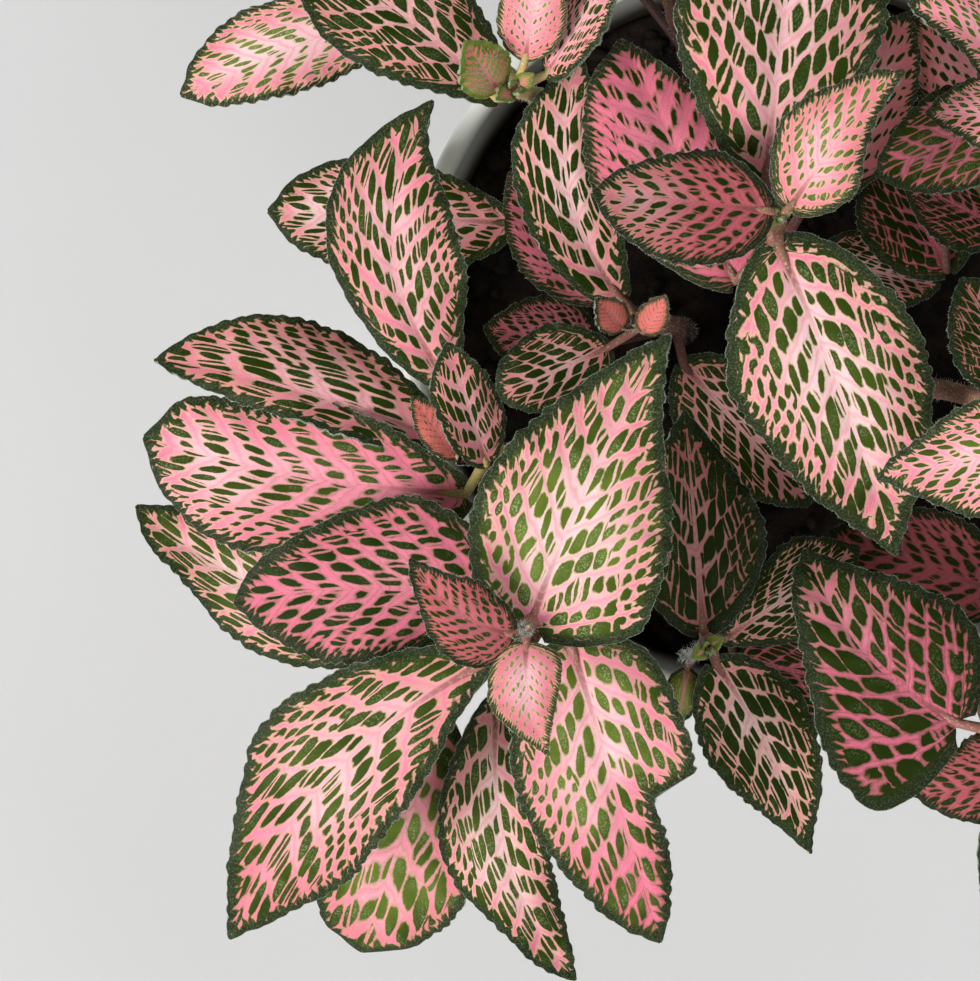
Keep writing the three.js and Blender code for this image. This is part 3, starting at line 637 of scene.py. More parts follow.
shoots = {
    "front_left_shoot": ((-25, -28), (-41.5, -45, 163), [
        leaf((-43, -45.5, 164), (-57, -35, 169), 11, 1, "young", bow=0.1,
             left=(4.8, 6.2, 5.1, 2.9, 1.3), right=(3.5, 4.6, 4.9, 3.4, 1.5)),
        leaf((-41, -47, 164), (-38, -62, 167), 10, 1, "coral", bow=-0.07,
             left=(4.5, 4.8, 3.9, 2.6, 0.9), right=(3.8, 5.2, 5.3, 3.3, 1)),
        leaf((-40.5, -44.5, 161), (-21, -4, 162), 28.3, 5, "palest", bow=0.03, cells=1.2,
             left=(9.5, 13.4, 11.9, 7.8, 3), right=(13.7, 14.6, 12.3, 6.5, 1.9)),
        leaf((-47, -50, 155), (-84, -91, 136), 23.3, 6, "light", bow=-0.09, cells=1.15, tipPale=-0.4,
             left=(4, 9.7, 11.4, 11.2, 5.1), right=(6, 10.6, 12, 7, 2.2)),
        leaf((-34.5, -47.3, 152.5), (-21, -92, 132), 25, 13, "rosy", step=(1, 0.48, 0.4), tipPale=-0.6,
             left=(9.8, 12.1, 11.9, 12.3, 6.4), right=(9.5, 13.3, 13, 9.8, 4.7)),
        leaf((-46, -41, 149), (-83, -42, 140), 24, 12, "pink", bow=-0.05,
             left=(5.5, 9.5, 10.7, 9.8, 4.9), right=(9, 13.2, 11.3, 8.2, 4.3)),
        leaf((-45, -56, 139), (-33, -100, 114), 15, 22, "soft", bow=-0.09, cells=0.74,
             left=(4, 6, 6, 5, 2.5), right=(4.5, 8.6, 9, 5, 2.5)),
        leaf((-53, -60, 130), (-66, -97, 104), 22.5, 30, "broad", veins=0.75,
             left=(5, 9.5, 12, 11.5, 7), right=(5, 9, 10.5, 10.3, 7.2)),
        leaf((-59, -48, 127), (-100, -28, 111), 15.5, 30, "soft", bow=0.05, cells=0.8,
             left=(5.2, 8.6, 8.5, 5, 3), right=(4, 6.5, 7, 5.5, 3.2)),
    ]),
    "left_shoot": ((-38, -20), (-48.5, -20.5, 149), [
        leaf((-46.5, -22, 151), (-52, -5, 160), 9.3, 1, "salmon", tilt=16, veins=0.75,
             left=(2.5, 4.2, 4.6, 4.5, 2.3), right=(2.7, 4.7, 4.7, 3.8, 1.6)),
        leaf((-50.5, -21, 150.5), (-57, -12.5, 155), 5.4, 1, "redBud"),
        leaf((-52, -10, 142), (-54, 30, 146), 19, 6, "blush", bow=0.17,
             left=(4, 6.9, 9.4, 8.6, 3.6), right=(5.2, 9.5, 9.3, 7, 1.5)),
        leaf((-51, -19.2, 138.5), (-95.6, -6.4, 129), 15, 9, "salmon", bow=-0.03, tilt=20, arch=0.08,
             veins=0.85, left=(3, 5, 4.5, 3.6, 2), right=(4, 8.9, 11.2, 9.9, 4.7)),
        leaf((-49.5, -26.2, 142.5), (-97.5, -17.7, 125), 23, 8, "warm", bow=0.03, tipPale=0.7,
             step=(-1, 0.58, 0.78), cells=1.15,
             left=(7, 11, 12, 11.7, 6.5), right=(5, 10, 11.2, 11.3, 9.2)),
    ]),
    "back_left_shoot": ((-37, 33), (-42.5, 31, 151), [
        leaf((-41, 35, 154), (-39, 48, 166), 9.5, 1, "coral"),
        leaf((-38, 33, 152), (-28, 47, 162), 9.5, 1, "blush", tilt=-40),
        leaf((-45, 31, 151), (-49.5, 36.5, 161), 8, 1, "olive"),
        leaf((-45, 30, 148), (-75, 53, 142), 19, 5, "dusky", bow=-0.04,
             left=(3.5, 7.8, 9.4, 9, 4.5), right=(4.5, 8, 9.5, 8.5, 4.5)),
        leaf((-56, 47, 130), (-92, 33, 125), 14, 26, "cream",
             left=(3.5, 6, 6.7, 5.5, 3.2), right=(4, 6.5, 7.3, 7.7, 4.3)),
        leaf((-43, 15, 112), (-80, 17, 110), 16, 46, "salmon", tipPale=0.8,
             left=(5.2, 7.8, 8, 7.8, 4.5), right=(3.9, 7.3, 8.2, 8.4, 5)),
    ]),
    "inner_left_shoot": ((-15, -1), (-25.5, -1.5, 142), [
        leaf((-27, -2.4, 143), (-31, 1.6, 149), 5, 1, "redBud"),
        leaf((-24, -3, 143), (-21, 2, 149), 4.5, 1, "redBud"),
        leaf((-27, 2, 140), (-33, 37, 144), 14, 4, "shaded", bow=0.14, veins=0.92, cells=0.72,
             left=(4, 6.4, 7.5, 6.9, 2.5), right=(3.5, 6, 6.5, 5.5, 2.8)),
        leaf((-29, -5, 136), (-45, -12, 134), 13, 6, "dusky", veins=0.75,
             left=(4, 6.5, 6.5, 5, 2.5), right=(3.5, 6.3, 6.6, 5.6, 3.6)),
        leaf((-29, 3, 126), (-43, 22, 122), 15, 16, "hot"),
        leaf((-17, -7, 122), (2, -28, 118), 17, 24, "dusky"),
        leaf((-30, -4, 116), (-47, -1.4, 122), 13, 28, "pink"),
    ]),
    "front_shoot": ((-11, -33), (-14.5, -48.5, 137), [
        leaf((-15, -46, 136), (-18, -14, 141), 18.7, 3, "dark", veins=0.88,
             left=(5.5, 9, 9, 6.5, 2.5), right=(5.7, 9.6, 9.7, 6.5, 2.3)),
        leaf((-12, -47.5, 134), (8, -34, 134), 12.5, 4, "slender",
             left=(1.8, 3.6, 6, 6.5, 3), right=(2.5, 5.5, 6.5, 5.5, 2.5)),
        leaf((-13, -51, 134), (2, -80, 122), 16.6, 4, "slender", bow=0.035, veins=0.85,
             left=(5.3, 8, 7.2, 4.7, 1.2), right=(5.9, 8.6, 7.7, 5.1, 1.8)),
        leaf((-17, -52, 131), (-18.5, -60, 133), 5.5, 6, "bud"),
        leaf((-9, -51, 115), (18, -57, 112), 16, 22, "deep"),
    ]),
    "front_right_shoot": ((22, -43.5), (27.5, -62, 147), [
        leaf((30, -61, 148), (44, -57, 151), 10, 1, "young"),
        leaf((29, -64, 148), (36, -79, 156), 10, 1, "coral"),
        leaf((21, -59, 145), (-0.5, -34, 140), 29, 3, "crimson", bow=0.1, veins=0.9, tipPale=0.45,
             left=(16, 15, 10, 6.3, 3.4), right=(10.8, 14, 12.6, 9.5, 3.7)),
        leaf((32, -66, 143), (58, -92, 134), 24, 5, "light"),
        leaf((34, -60, 138), (71, -66, 124), 24, 13, "blush"),
        leaf((38, -62, 127), (17, -71, 121), 13.5, 18, "berry", bow=0.1,
             left=(4.5, 6.5, 6.5, 5, 2), right=(5, 7, 7, 5.5, 2.5)),
        leaf((31, -70, 126), (49, -104, 106), 22, 26, "light"),
    ]),
    "centre_shoot": ((-4, 7), (-6.5, 12, 166), [
        leaf((-8, 12.5, 168), (-32, 15, 167), 15.6, 1, "berry", tipPale=0.8,
             left=(5.7, 8.2, 8.3, 6.9, 3.6), right=(4.3, 7.3, 6.7, 5.2, 2.8)),
        leaf((-5, 13, 168), (10, 31, 173), 13.5, 1, "apricot", bow=0.03,
             left=(4.6, 7.5, 7.5, 5.2, 2.5), right=(4.4, 6.1, 3.8, 1.8, 0.8)),
        leaf((-8, 17, 162), (-3, 61, 158), 29, 6, "clear",
             left=(6.5, 12.5, 15.1, 12.5, 5), right=(6, 11, 14, 13, 5)),
        leaf((-6, 8, 162), (12, -35, 146), 27, 6, "pale", bow=0.01, cells=1.22,
             left=(8, 12.6, 13, 9.5, 3), right=(8.7, 14, 12.4, 9, 3.2)),
        leaf((-11, 4, 148), (-27.4, 38.9, 145), 22, 18, "hot",
             left=(6, 11, 13, 11.2, 6.6), right=(6, 9, 8.5, 6.3, 2.6)),
        leaf((3, 9, 122), (22, 5, 116), 12, 38, "dusky"),
        leaf((1, 17, 127), (17, 46, 120), 16, 42, "faded"),
    ]),
    "right_shoot": ((16, -9), (32, -17, 172), [
        leaf((30, -19, 173), (7, -24, 166), 15.5, 1, "rosy",
             left=(5, 8, 8, 5, 1.7), right=(5, 7.5, 6.7, 4.2, 2.1)),
        leaf((34, -15, 173), (56, -6, 176), 15, 1, "young"),
        leaf((29, -12, 160), (20, 4, 156), 14, 10, "dark"),
        leaf((28, -9, 142), (46, 13, 134), 19, 30, "blush"),
        leaf((15, -17, 113), (-8, -25, 110), 13, 56, "deep"),
        leaf((33, -22, 166), (50, -56, 158), 25, 7, "light"),
    ]),
    "back_right_shoot": ((16, 17), (33, 27, 159), [
        leaf((31, 26, 160), (15, 27, 156), 11.5, 1, "rosy",
             left=(4.5, 5.5, 5, 3, 1.4), right=(4.5, 6, 5.7, 4.4, 2.2)),
        leaf((34, 29, 160), (52, 38, 162), 13, 1, "young"),
        leaf((29, 28, 152), (9, 19.4, 145), 15, 9, "rich", tilt=12, veins=0.8),
        leaf((29, 33, 155), (12, 42, 160), 12, 6, "rosy",
             left=(5, 4, 2, 1.5, 1), right=(6, 8, 7.5, 5, 2.5)),
        leaf((30, 12, 134), (15, 20, 130), 12, 26, "deep"),
        leaf((22, 7, 124), (12, 27, 122), 18, 36, "deep"),
        leaf((28, 30, 122), (22, 51, 118), 18, 44, "faded"),
    ]),
    "lower_right_shoot": ((31, -22), (45, -38, 138), [
        leaf((46, -36, 139), (54, -24, 147), 9, 1, "young"),
        leaf((47, -40, 139), (58, -47, 144), 9, 1, "young"),
        leaf((49, -37, 134), (80, -30, 127), 20, 4, "light"),
        leaf((30, -41, 128), (4, -32, 127), 17, 8, "berry"),
        leaf((50, -42, 121), (82, -60, 106), 23, 16, "blush"),
    ]),
}
for name, root, tip, firstTurn, size, outward in (
        ("far_right_shoot", (38, 0), (60, -4, 144), 20, 44, 0),
        ("far_back_right_shoot", (34, 22), (55, 42, 140), 70, 44, 38),
        ("back_shoot", (2, 42), (16, 58, 150), 110, 46, 72),
        ("far_back_left_shoot", (-14, 38), (-27, 62, 140), 186, 46, 112)):
    shoots[name] = (root, tip, pairedLeaves(tip, firstTurn, size, outward))


# At each tip two small pairs of leaves still stand folded together, with wool round them.
buds = {"size": 3.6, "wool": 90, "woolLength": 0.9}
budLooks = {
    "front_shoot": ("sprout", 3.6), "centre_shoot": ("sprout", 3.2), "back_left_shoot": ("olive", 4.4),
    "inner_left_shoot": ("redBud", 2.4), "front_left_shoot": ("coral", 2.2),
}
woolly = {"front_left_shoot": 700, "centre_shoot": 260, "front_shoot": 650}
woolAside = {"front_shoot": (-3.2, -1.6, -1.5)}


def budLeaves(name, tip):
    look, size = budLooks.get(name, ("young", buds["size"]))
    leaves = []
    for pair, (share, rise) in enumerate(((1.0, 42), (0.62, 66))):
        for side in (0, 180):
            turn = math.radians(35 + 90 * pair + side)
            flat, high = math.cos(math.radians(rise)), math.sin(math.radians(rise))
            long = size * share
            start = beside(tip, turn, 0.5, -0.3)
            end = beside(tip, turn, long * flat, long * high)
            leaves.append(leaf(start, end, 0.6 * long, 0, look, arch=0.12))
    return leaves


def smooth(share):
    share = np.clip(share, 0, 1)
    return share * share * (3 - 2 * share)


def leafLength(spec):
    return np.linalg.norm(spec["end"] - spec["start"])


# Half width of a leaf with its widest place at belly, as a share of the largest
def outline(t, belly):
    base = blade["roundBase"]
    point = base * (1 - belly) / belly

    def shape(u):
        return np.power(u, base) * np.power(1 - u, point)

    return shape(t) / shape(belly)


def bladeFrame(spec, t):
    reach = spec["end"] - spec["start"]
    long = leafLength(spec)
    flat = unit([-reach[1], reach[0], 0])
    high = unit(np.cross(reach, flat))
    bend = (high * spec["arch"] + flat * spec["bow"]) * long
    t = np.asarray(t, float)[..., None]
    middle = spec["start"] + reach * t + bend * 4 * t * (1 - t)
    along = unit(reach + bend * (4 - 8 * t))
    left = unit(np.stack([-along[..., 1], along[..., 0], 0 * along[..., 0]], -1))
    up = np.cross(along, left)
    tilt = math.radians(spec["tilt"])
    left, up = left * math.cos(tilt) + up * math.sin(tilt), up * math.cos(tilt) - left * math.sin(tilt)
    return long, middle, along, left, up


# A smooth curve through the half widths, evenly steep at the round ends
def measuredWidth(widths, t):
    places = np.arccos(1 - np.array([0, *widthPlaces, 1]))
    values = np.array([0, *widths, 0], float)
    before, after = np.maximum(np.arange(7) - 1, 0), np.minimum(np.arange(7) + 1, 6)
    slopes = (values[after] - values[before]) / (places[after] - places[before])
    here = np.arccos(1 - np.clip(t, 0, 1))
    i = np.clip(np.searchsorted(places, here) - 1, 0, 5)
    gap = places[i + 1] - places[i]
    u = (here - places[i]) / gap
    ends = values[i] * (1 + 2 * u) * (1 - u) ** 2 + values[i + 1] * u * u * (3 - 2 * u)
    return ends + gap * (slopes[i] * u * (1 - u) ** 2 - slopes[i + 1] * u * u * (1 - u))


def halfWidth(spec, t, v):
    if spec["left"] is None:
        return spec["wide"] / 2 * outline(t, spec["belly"])
    half = np.where(v > 0, measuredWidth(spec["left"], t), measuredWidth(spec["right"], t))
    if spec["step"]:
        side, place, share = spec["step"]
        past = smooth((t - place) / 0.05 + 0.5)
        half = np.where(np.sign(v) == side, half * (1 + (share - 1) * past), half)
    return half


# How far the two rounded lobes at a leaf's base reach back past its stalk
def lobeShift(spec, t, v):
    return blade["lobe"] * spec["wide"] * v * v * np.maximum(0, 1 - t / blade["lobeLength"])


def bladeSpots(spec, t, v):
    long, middle, along, left, up = bladeFrame(spec, t)
    half = halfWidth(spec, t, v)
    size = spec["wide"] / blade["usualWidth"]
    detail = 0.4 + 0.6 * size
    wave = blade["wave"] * min(1, long / blade["usualLength"]) * np.sin(math.pi * t)
    phase = spec["end"][0] + np.where(v > 0, 0, 2)
    lift = (blade["fold"] * np.abs(v) * half - blade["curl"] * v * v * half
            + wave * v * v * np.sin(2 * math.pi * blade["waves"] * t + phase))

    # Finer than the solid: a toothed and rippled edge, quilting between the side veins, a sunk midrib
    teeth = long / blade["toothLength"]
    slow, quick = blade["unevenTeeth"]
    tooth = np.abs(np.sin(math.pi * teeth * t + phase)) - 0.5
    tooth = tooth + 0.6 * np.sin(slow * t + phase) * np.sin(quick * t)
    edgeShare = np.abs(v) ** 7
    reach = half + blade["toothDepth"] * detail * tooth * edgeShare * np.sin(math.pi * t) ** 0.4
    rippleShare = v ** 4 * np.sin(math.pi * t)
    slow, quick = blade["ripples"]
    lift += blade["ripple"] * detail * rippleShare * (
        np.sin(slow * t + 3 * phase) + 0.6 * np.sin(quick * t + phase))
    q, _ = veinPlace(spec, t, v)
    betweenVeins = np.cos(2 * math.pi * q) * np.sin(math.pi * np.abs(v)) ** 0.7
    lift -= blade["quilt"] * (0.3 + 0.7 * size) * betweenVeins
    lift -= blade["groove"] * size * np.exp(-((v * half / blade["grooveWidth"]) ** 2)) * (1 - t) ** 0.5
    behind = lobeShift(spec, t, v)
    return middle + left * (v * reach)[..., None] + up * lift[..., None] - along * behind[..., None]


# Side veins are counted by q. Each starts on the midrib and runs out and forwards to the edge, and the first
# ones fan out of the base.
fan = {"first": -0.75, "last": 1.12, "turnsOver": 2.2, "curve": 0.28, "atBase": 2.5, "crowding": 1.22}


def veinPlace(spec, t, v):
    long = leafLength(spec)
    count = blade["sideVeins"] * spec["veins"]
    q = np.linspace(-0.6, count + 4, 90)
    pastBase = np.maximum(q - fan["atBase"], 0) / (count - fan["atBase"])
    starts = long * np.power(pastBase, fan["crowding"])
    turned = 1 - np.exp(-np.maximum(q, 0) / fan["turnsOver"])
    slants = fan["first"] + (fan["last"] - fan["first"]) * turned + 0.6 * np.minimum(q, 0)
    out = (np.abs(v) * halfWidth(spec, t, v))[..., None]
    bow = fan["curve"] * out * out / (spec["wide"] / 2)
    reached = starts + slants * out + bow
    here = (t * long)[..., None]
    below = np.clip((reached < here).sum(-1) - 1, 0, len(q) - 2)
    low = np.take_along_axis(reached, below[..., None], -1)
    high = np.take_along_axis(reached, below[..., None] + 1, -1)
    share = np.clip((here - low) / np.maximum(high - low, 1e-6), 0, 1)[..., 0]
    place = q[below] + share * (q[1] - q[0])
    slant = np.take(slants, below) + 2 * bow[..., 0] / np.maximum(out[..., 0], 1e-6)
    run = out[..., 0] * np.sqrt(1 + slant ** 2)
    return place, run / (blade["cell"] * spec["wide"]) * spec["veins"] * spec["cells"]


def edgeDistance(spec, t, v):
    long = leafLength(spec)
    steps = np.linspace(0.002, 0.998, 150)
    rim = []
    for side in (-1, 1):
        half = halfWidth(spec, steps, np.full(steps.shape, side))
        rim.append(np.stack([steps * long - lobeShift(spec, steps, 1.0), side * half], -1))
    rim = np.concatenate(rim)
    here = np.stack([t * long - lobeShift(spec, t, v), v * halfWidth(spec, t, v)], -1)
    gaps = np.linalg.norm(here[:, None, :] - rim[None, :, :], axis=2)
    return np.where(np.abs(v) > 0.999, 0, gaps.min(axis=1))


def makeLeaf(spec, number, materials):
    look = looks[spec["look"]]
    m = leafMesh
    rows = int(m["rows"] + leafLength(spec) * m["rowsPerLength"])
    columns = 2 * int(m["columns"] + spec["wide"] * m["columnsPerWidth"])
    piece = newPiece(bpy.ops.mesh.primitive_grid_add, x_subdivisions=rows, y_subdivisions=columns, size=1)
    flat = meshSpots(piece)
    run = flat[:, 0] + 0.5
    crowded = 0.5 - 0.5 * np.cos(math.pi * run)
    t = m["start"] + m["reach"] * ((1 - m["crowdedEnds"]) * run + m["crowdedEnds"] * crowded)
    u = 2 * flat[:, 1]
    v = np.sign(u) * (1 - (1 - np.abs(u)) ** m["crowdedEdge"])
    v[np.abs(u) < 1e-4] = 0
    moveSpots(piece, bladeSpots(spec, t, v) * mm)
    q, out = veinPlace(spec, t, v)
    edge = edgeDistance(spec, t, v) / (blade["margin"] * (0.2 + 0.045 * spec["wide"]))
    usual = blade["usualWidth"]
    midrib = np.abs(v) * halfWidth(spec, t, v) * usual / (0.5 * usual + 0.5 * spec["wide"])
    mesh = piece.data
    corners = np.empty(len(mesh.loops), int)
    mesh.loops.foreach_get("vertex_index", corners)
    side = np.repeat(v[corners].reshape(-1, 4).sum(axis=1), 4)
    while mesh.uv_layers:
        mesh.uv_layers.remove(mesh.uv_layers[0])
    shift = m["netShift"] * number + np.where(side > 0, m["sideShift"], 0.0)
    for name, first, second in (("veinMap", q[corners] + shift, out[corners]),
                                ("edgeMap", edge[corners] / mapScale, midrib[corners] / mapScale),
                                ("lengthMap", t[corners], look[4] + 0 * t[corners])):
        layer = mesh.uv_layers.new(name=name)
        layer.data.foreach_set("uv", np.stack([first, second], -1).ravel())
    tone = mesh.color_attributes.new("leafTone", "FLOAT_COLOR", "POINT")
    tones = np.tile(look[:4], (len(t), 1))
    tones[:, 0] += spec["tipPale"] * smooth((t - 0.35) / 0.5)
    tone.data.foreach_set("color", tones.ravel())
    for material in materials:
        mesh.materials.append(material)
    return piece


# A closed tube from a sphere's rings, laid along a path with a radius at each point
def makeTube(path, radii, sides):
    path, radii = np.asarray(path, float), np.asarray(radii, float)
    rings = len(path)
    piece = newPiece(bpy.ops.mesh.primitive_uv_sphere_add, segments=sides, ring_count=rings + 1, radius=1)
    ball = meshSpots(piece)
    lean = np.arccos(np.clip(-ball[:, 2], -1, 1)) / math.pi * (rings + 1)
    ring = np.clip(np.rint(lean) - 1, 0, rings - 1).astype(int)
    pole = (np.rint(lean) < 1) | (np.rint(lean) > rings)
    turn = np.arctan2(ball[:, 1], ball[:, 0])
    way = unit(np.gradient(path, axis=0))
    sideways = unit(np.cross(way, [0.3, 0.9, 0.15]))
    upwards = np.cross(way, sideways)
    wide = np.where(pole, 0, radii[ring])[:, None]
    turn = turn[:, None]
    spots = path[ring] + wide * (np.cos(turn) * sideways[ring] - np.sin(turn) * upwards[ring])
    ends = np.where(np.rint(lean) < 1, -0.4, np.where(pole, 0.4, 0))[:, None]
    moveSpots(piece, (spots + ends * way[ring] * radii[ring][:, None]) * mm)
    bpy.ops.object.mode_set(mode="EDIT")
    bpy.ops.mesh.select_all(action="SELECT")
    bpy.ops.mesh.normals_make_consistent(inside=False)
    bpy.ops.object.mode_set(mode="OBJECT")
    return piece


def stemPath(root, tip, share):
    start = np.array([*root, stem["soilTop"]], float)
    lean = np.array([*root, stem["soilTop"] + 0.6 * (tip[2] - stem["soilTop"])])
    share = np.asarray(share, float)[..., None]
    return (1 - share) ** 2 * start + 2 * share * (1 - share) * lean + share ** 2 * np.array(tip, float)


def stemShare(root, tip, below):
    long = math.hypot(tip[2] - stem["soilTop"], tip[0] - root[0], tip[1] - root[1])
    return 1 - below / long


def stemRadius(share):
    return stem["radius"] + (stem["tipRadius"] - stem["radius"]) * share ** 1.5


def makeStems(root, tip, leaves, material):
    share = np.linspace(0, 1, stem["steps"])
    path = stemPath(root, tip, share)
    path = np.concatenate([[[root[0], root[1], stem["soilTop"] - stem["depth"]]], path])
    radii = stemRadius(np.linspace(0, 1, len(path)))
    for below in sorted({spec["below"] for spec in leaves}):
        node = stemShare(root, tip, below)
        radii[1:] += stem["swelling"] * np.exp(-(((share - node) / stem["swellingLength"]) ** 2))
    pieces = [makeTube(path, radii, stem["sides"])]
    for spec in leaves:
        long, *_ = bladeFrame(spec, 0.0)
        node = stemPath(root, tip, stemShare(root, tip, spec["below"]))
        steps = np.linspace(0, 1, stem["stalkSteps"])[:, None]
        foot = spec["start"]
        sag = np.array([0, 0, stem["sag"]]) * np.linalg.norm(foot - node)
        stalk = node * (1 - steps) + foot * steps + sag * 4 * steps * (1 - steps)
        ribAt = np.linspace(0.03, 0.8, stem["ribSteps"])
        _, rib, _, _, up = bladeFrame(spec, ribAt)
        thick = stem["stalkRadius"] * min(1, 0.5 + long / 60)
        ribRadii = (0.85 * (1 - ribAt / 0.86) ** 0.8 + 0.08) * thick
        groove = blade["groove"] * spec["wide"] / blade["usualWidth"] * (1 - ribAt) ** 0.5
        sunk = groove + stem["ribDepth"] + 0.9 * ribRadii
        rib = rib - up * (sunk * np.minimum(1, ribAt / 0.12))[:, None]
        radii = np.concatenate([np.linspace(1.1, 0.9, len(steps)) * thick, ribRadii])
        pieces.append(makeTube(np.concatenate([stalk, rib]), radii, stem["stalkSides"]))
    for piece in pieces:
        piece.data.materials.append(material)
    return pieces


# Short hairs on rims, stems and tips: one thin three-sided cone, repeated, each then set in place
hairs = {"length": 0.4, "radius": 0.03, "perMillimetre": 3.2, "stemHairs": 420, "stemLength": 0.75}


def rimHairs(spec):
    count = int(leafLength(spec) * hairs["perMillimetre"])
    roots, ways = [], []
    for side in (-1, 1):
        t = np.clip(np.linspace(0.03, 0.995, count) + draw.normal(0, 0.004, count), 0.02, 0.998)
        v = np.full(count, side * 0.995)
        root = bladeSpots(spec, t, v)
        inner = bladeSpots(spec, t, v * 0.96)
        _, _, along, _, up = bladeFrame(spec, t)
        roots.append(root)
        ways.append(unit(root - inner) + along * 0.35 + up * draw.normal(0.15, 0.5, (count, 1))
                    + draw.normal(0, 0.25, (count, 3)))
    return np.concatenate(roots), unit(np.concatenate(ways))


def stemHairs(root, tip):
    count = hairs["stemHairs"]
    share = draw.uniform(0.25, 0.995, count)
    spots = stemPath(root, tip, share)
    ways = draw.normal(0, 1, (count, 3))
    ways[:, 2] *= 0.3
    ways = unit(ways)
    return spots + ways * stemRadius(share)[:, None] * 0.94, ways


def tipWool(tip, count, aside):
    ways = unit(draw.normal(0, 1, (count, 3)) + [0, 0, 0.5])
    starts = np.array(tip, float) + ways * draw.uniform(0.5, 1.3, (count, 1))
    starts += draw.uniform(0, 1, (count, 1)) * np.array(aside)
    return starts, unit(ways + draw.normal(0, 0.6, (count, 3)))


def makeHairs(name, root, tip, specs, material):
    kinds = [(*rimHairs(spec), hairs["length"]) for spec in specs]
    kinds.append((*stemHairs(root, tip), hairs["stemLength"]))
    wool = tipWool(tip, woolly.get(name, buds["wool"]), woolAside.get(name, (0, 0, 0)))
    kinds.append((*wool, buds["woolLength"]))
    starts = np.concatenate([kind[0] for kind in kinds])
    ways = np.concatenate([kind[1] for kind in kinds])
    lengths = np.concatenate([np.full(len(kind[0]), kind[2]) for kind in kinds])
    lengths = lengths * draw.uniform(0.5, 1.2, len(starts))
    piece = newPiece(bpy.ops.mesh.primitive_cone_add, vertices=3, radius1=1, radius2=0, depth=1)
    corners = len(piece.data.vertices)
    applyModifier(piece, "ARRAY", count=len(starts), use_relative_offset=False)
    cone = meshSpots(piece) + np.array([0, 0, 0.5])
    hair = np.arange(len(cone)) // corners
    sideways = unit(np.cross(ways, [0.21, 0.34, 0.92]))
    across = np.cross(ways, sideways)
    spots = starts[hair] + hairs["radius"] * (cone[:, :1] * sideways[hair] + cone[:, 1:2] * across[hair])
    moveSpots(piece, (spots + (cone[:, 2] * lengths[hair] - 0.05)[:, None] * ways[hair]) * mm)
    piece.data.materials.append(material)
    return piece


def buildPlant():
    leafSkins = makeLeafMaterials()
    stemSkins = [makeStemMaterial(name) for name in stemColours]
    whiteHair = makeHairMaterial()
    number = 0
    for name, (root, tip, leaves) in shoots.items():
        pieces = []
        for spec in leaves + budLeaves(name, tip):
            pieces.append(makeLeaf(spec, number, leafSkins))
            number += 1
        foliage = joinPieces(pieces, name + "_leaves")
        applyModifier(foliage, "SOLIDIFY", thickness=blade["thickness"] * mm, offset=0,
                      use_even_offset=False, material_offset=1, material_offset_rim=0)
        bpy.ops.object.shade_smooth_by_angle(angle=math.radians(50))
        finishPiece(foliage, name)
        stemSkin = stemSkins[name in oliveShoots]
        stems = joinPieces(makeStems(root, tip, leaves, stemSkin), name + "_stems")
        bpy.ops.object.shade_smooth()
        finishPiece(stems, name)
        fuzz = makeHairs(name, root, tip, leaves, whiteHair)
        fuzz.name = name + "_hairs"
        finishPiece(fuzz, name)
        report(f"{name}: {len(leaves)} leaves, {len(foliage.data.polygons)} faces")


# Pot and soil
pot = {
    "height": 100, "rimRadius": 60, "footRadius": 43, "wall": 3.4, "floor": 6, "footRound": 2, "steps": 128,
    "glaze": ((0.83, 0.85, 0.82), (0.78, 0.79, 0.76)), "innerShade": ((0.045, 0.032, 0.024), (0.09, 0.07, 0.055)),
    "shadeInside": (0.0014, 0.003), "shadeFades": (0.0895, 0.0985), "shadeStarts": (0.05, 0.06),
}
soil = {
    "top": 89, "lump": 1.6, "crumbs": 420, "rings": 90, "thickness": 8, "unevenness": 0.16,
    "waves": ((0.13, 1.0), (0.31, 0.7), (0.8, 0.4), (1.7, 0.25)), "crumbSize": (0.5, 1.9),
    "dark": (0.006, 0.0045, 0.0035), "brown": (0.02, 0.013, 0.009), "fleck": (0.06, 0.035, 0.02),
}


def wallRadius(height):
    return pot["footRadius"] + (pot["rimRadius"] - pot["footRadius"]) * height / pot["height"]


def potProfile():
    lip = pot["wall"] / 2
    foot = pot["footRound"]
    points = [(0, 0), (20, 0), (pot["footRadius"] - foot - 1, 0)]
    for turn in range(-90, 1, 18):
        angle = math.radians(turn)
        points.append((pot["footRadius"] - foot + foot * math.cos(angle), foot + foot * math.sin(angle)))
    for height in range(8, 97, 8):
        points.append((wallRadius(height), height))
    middle = wallRadius(pot["height"]) - lip
    for turn in range(0, 181, 15):
        angle = math.radians(turn)
        points.append((middle + lip * math.cos(angle), pot["height"] - lip + lip * math.sin(angle)))
    for height in range(92, 8, -12):
        points.append((wallRadius(height) - pot["wall"], height))
    inner = wallRadius(pot["floor"]) - pot["wall"]
    return points + [(inner, pot["floor"] + 1)] + [(across, pot["floor"]) for across in (inner - 2, 15, 0)]


# Painted shade darkens the inner wall above the soil, less and less towards the lip
def paintedInnerShade(place):
    x, y, high = splitXYZ(place)
    radius = calc("SQRT", scaled(x, x, times(y, y)))
    lean = (pot["rimRadius"] - pot["footRadius"]) / pot["height"]
    wall = scaled(high, lean, pot["footRadius"] * mm)
    inner = ramp(minus(wall, radius), *pot["shadeInside"])
    low = ramp(high, *pot["shadeFades"], 1.0, 0.0)
    return times(times(inner, low), ramp(high, *pot["shadeStarts"]))


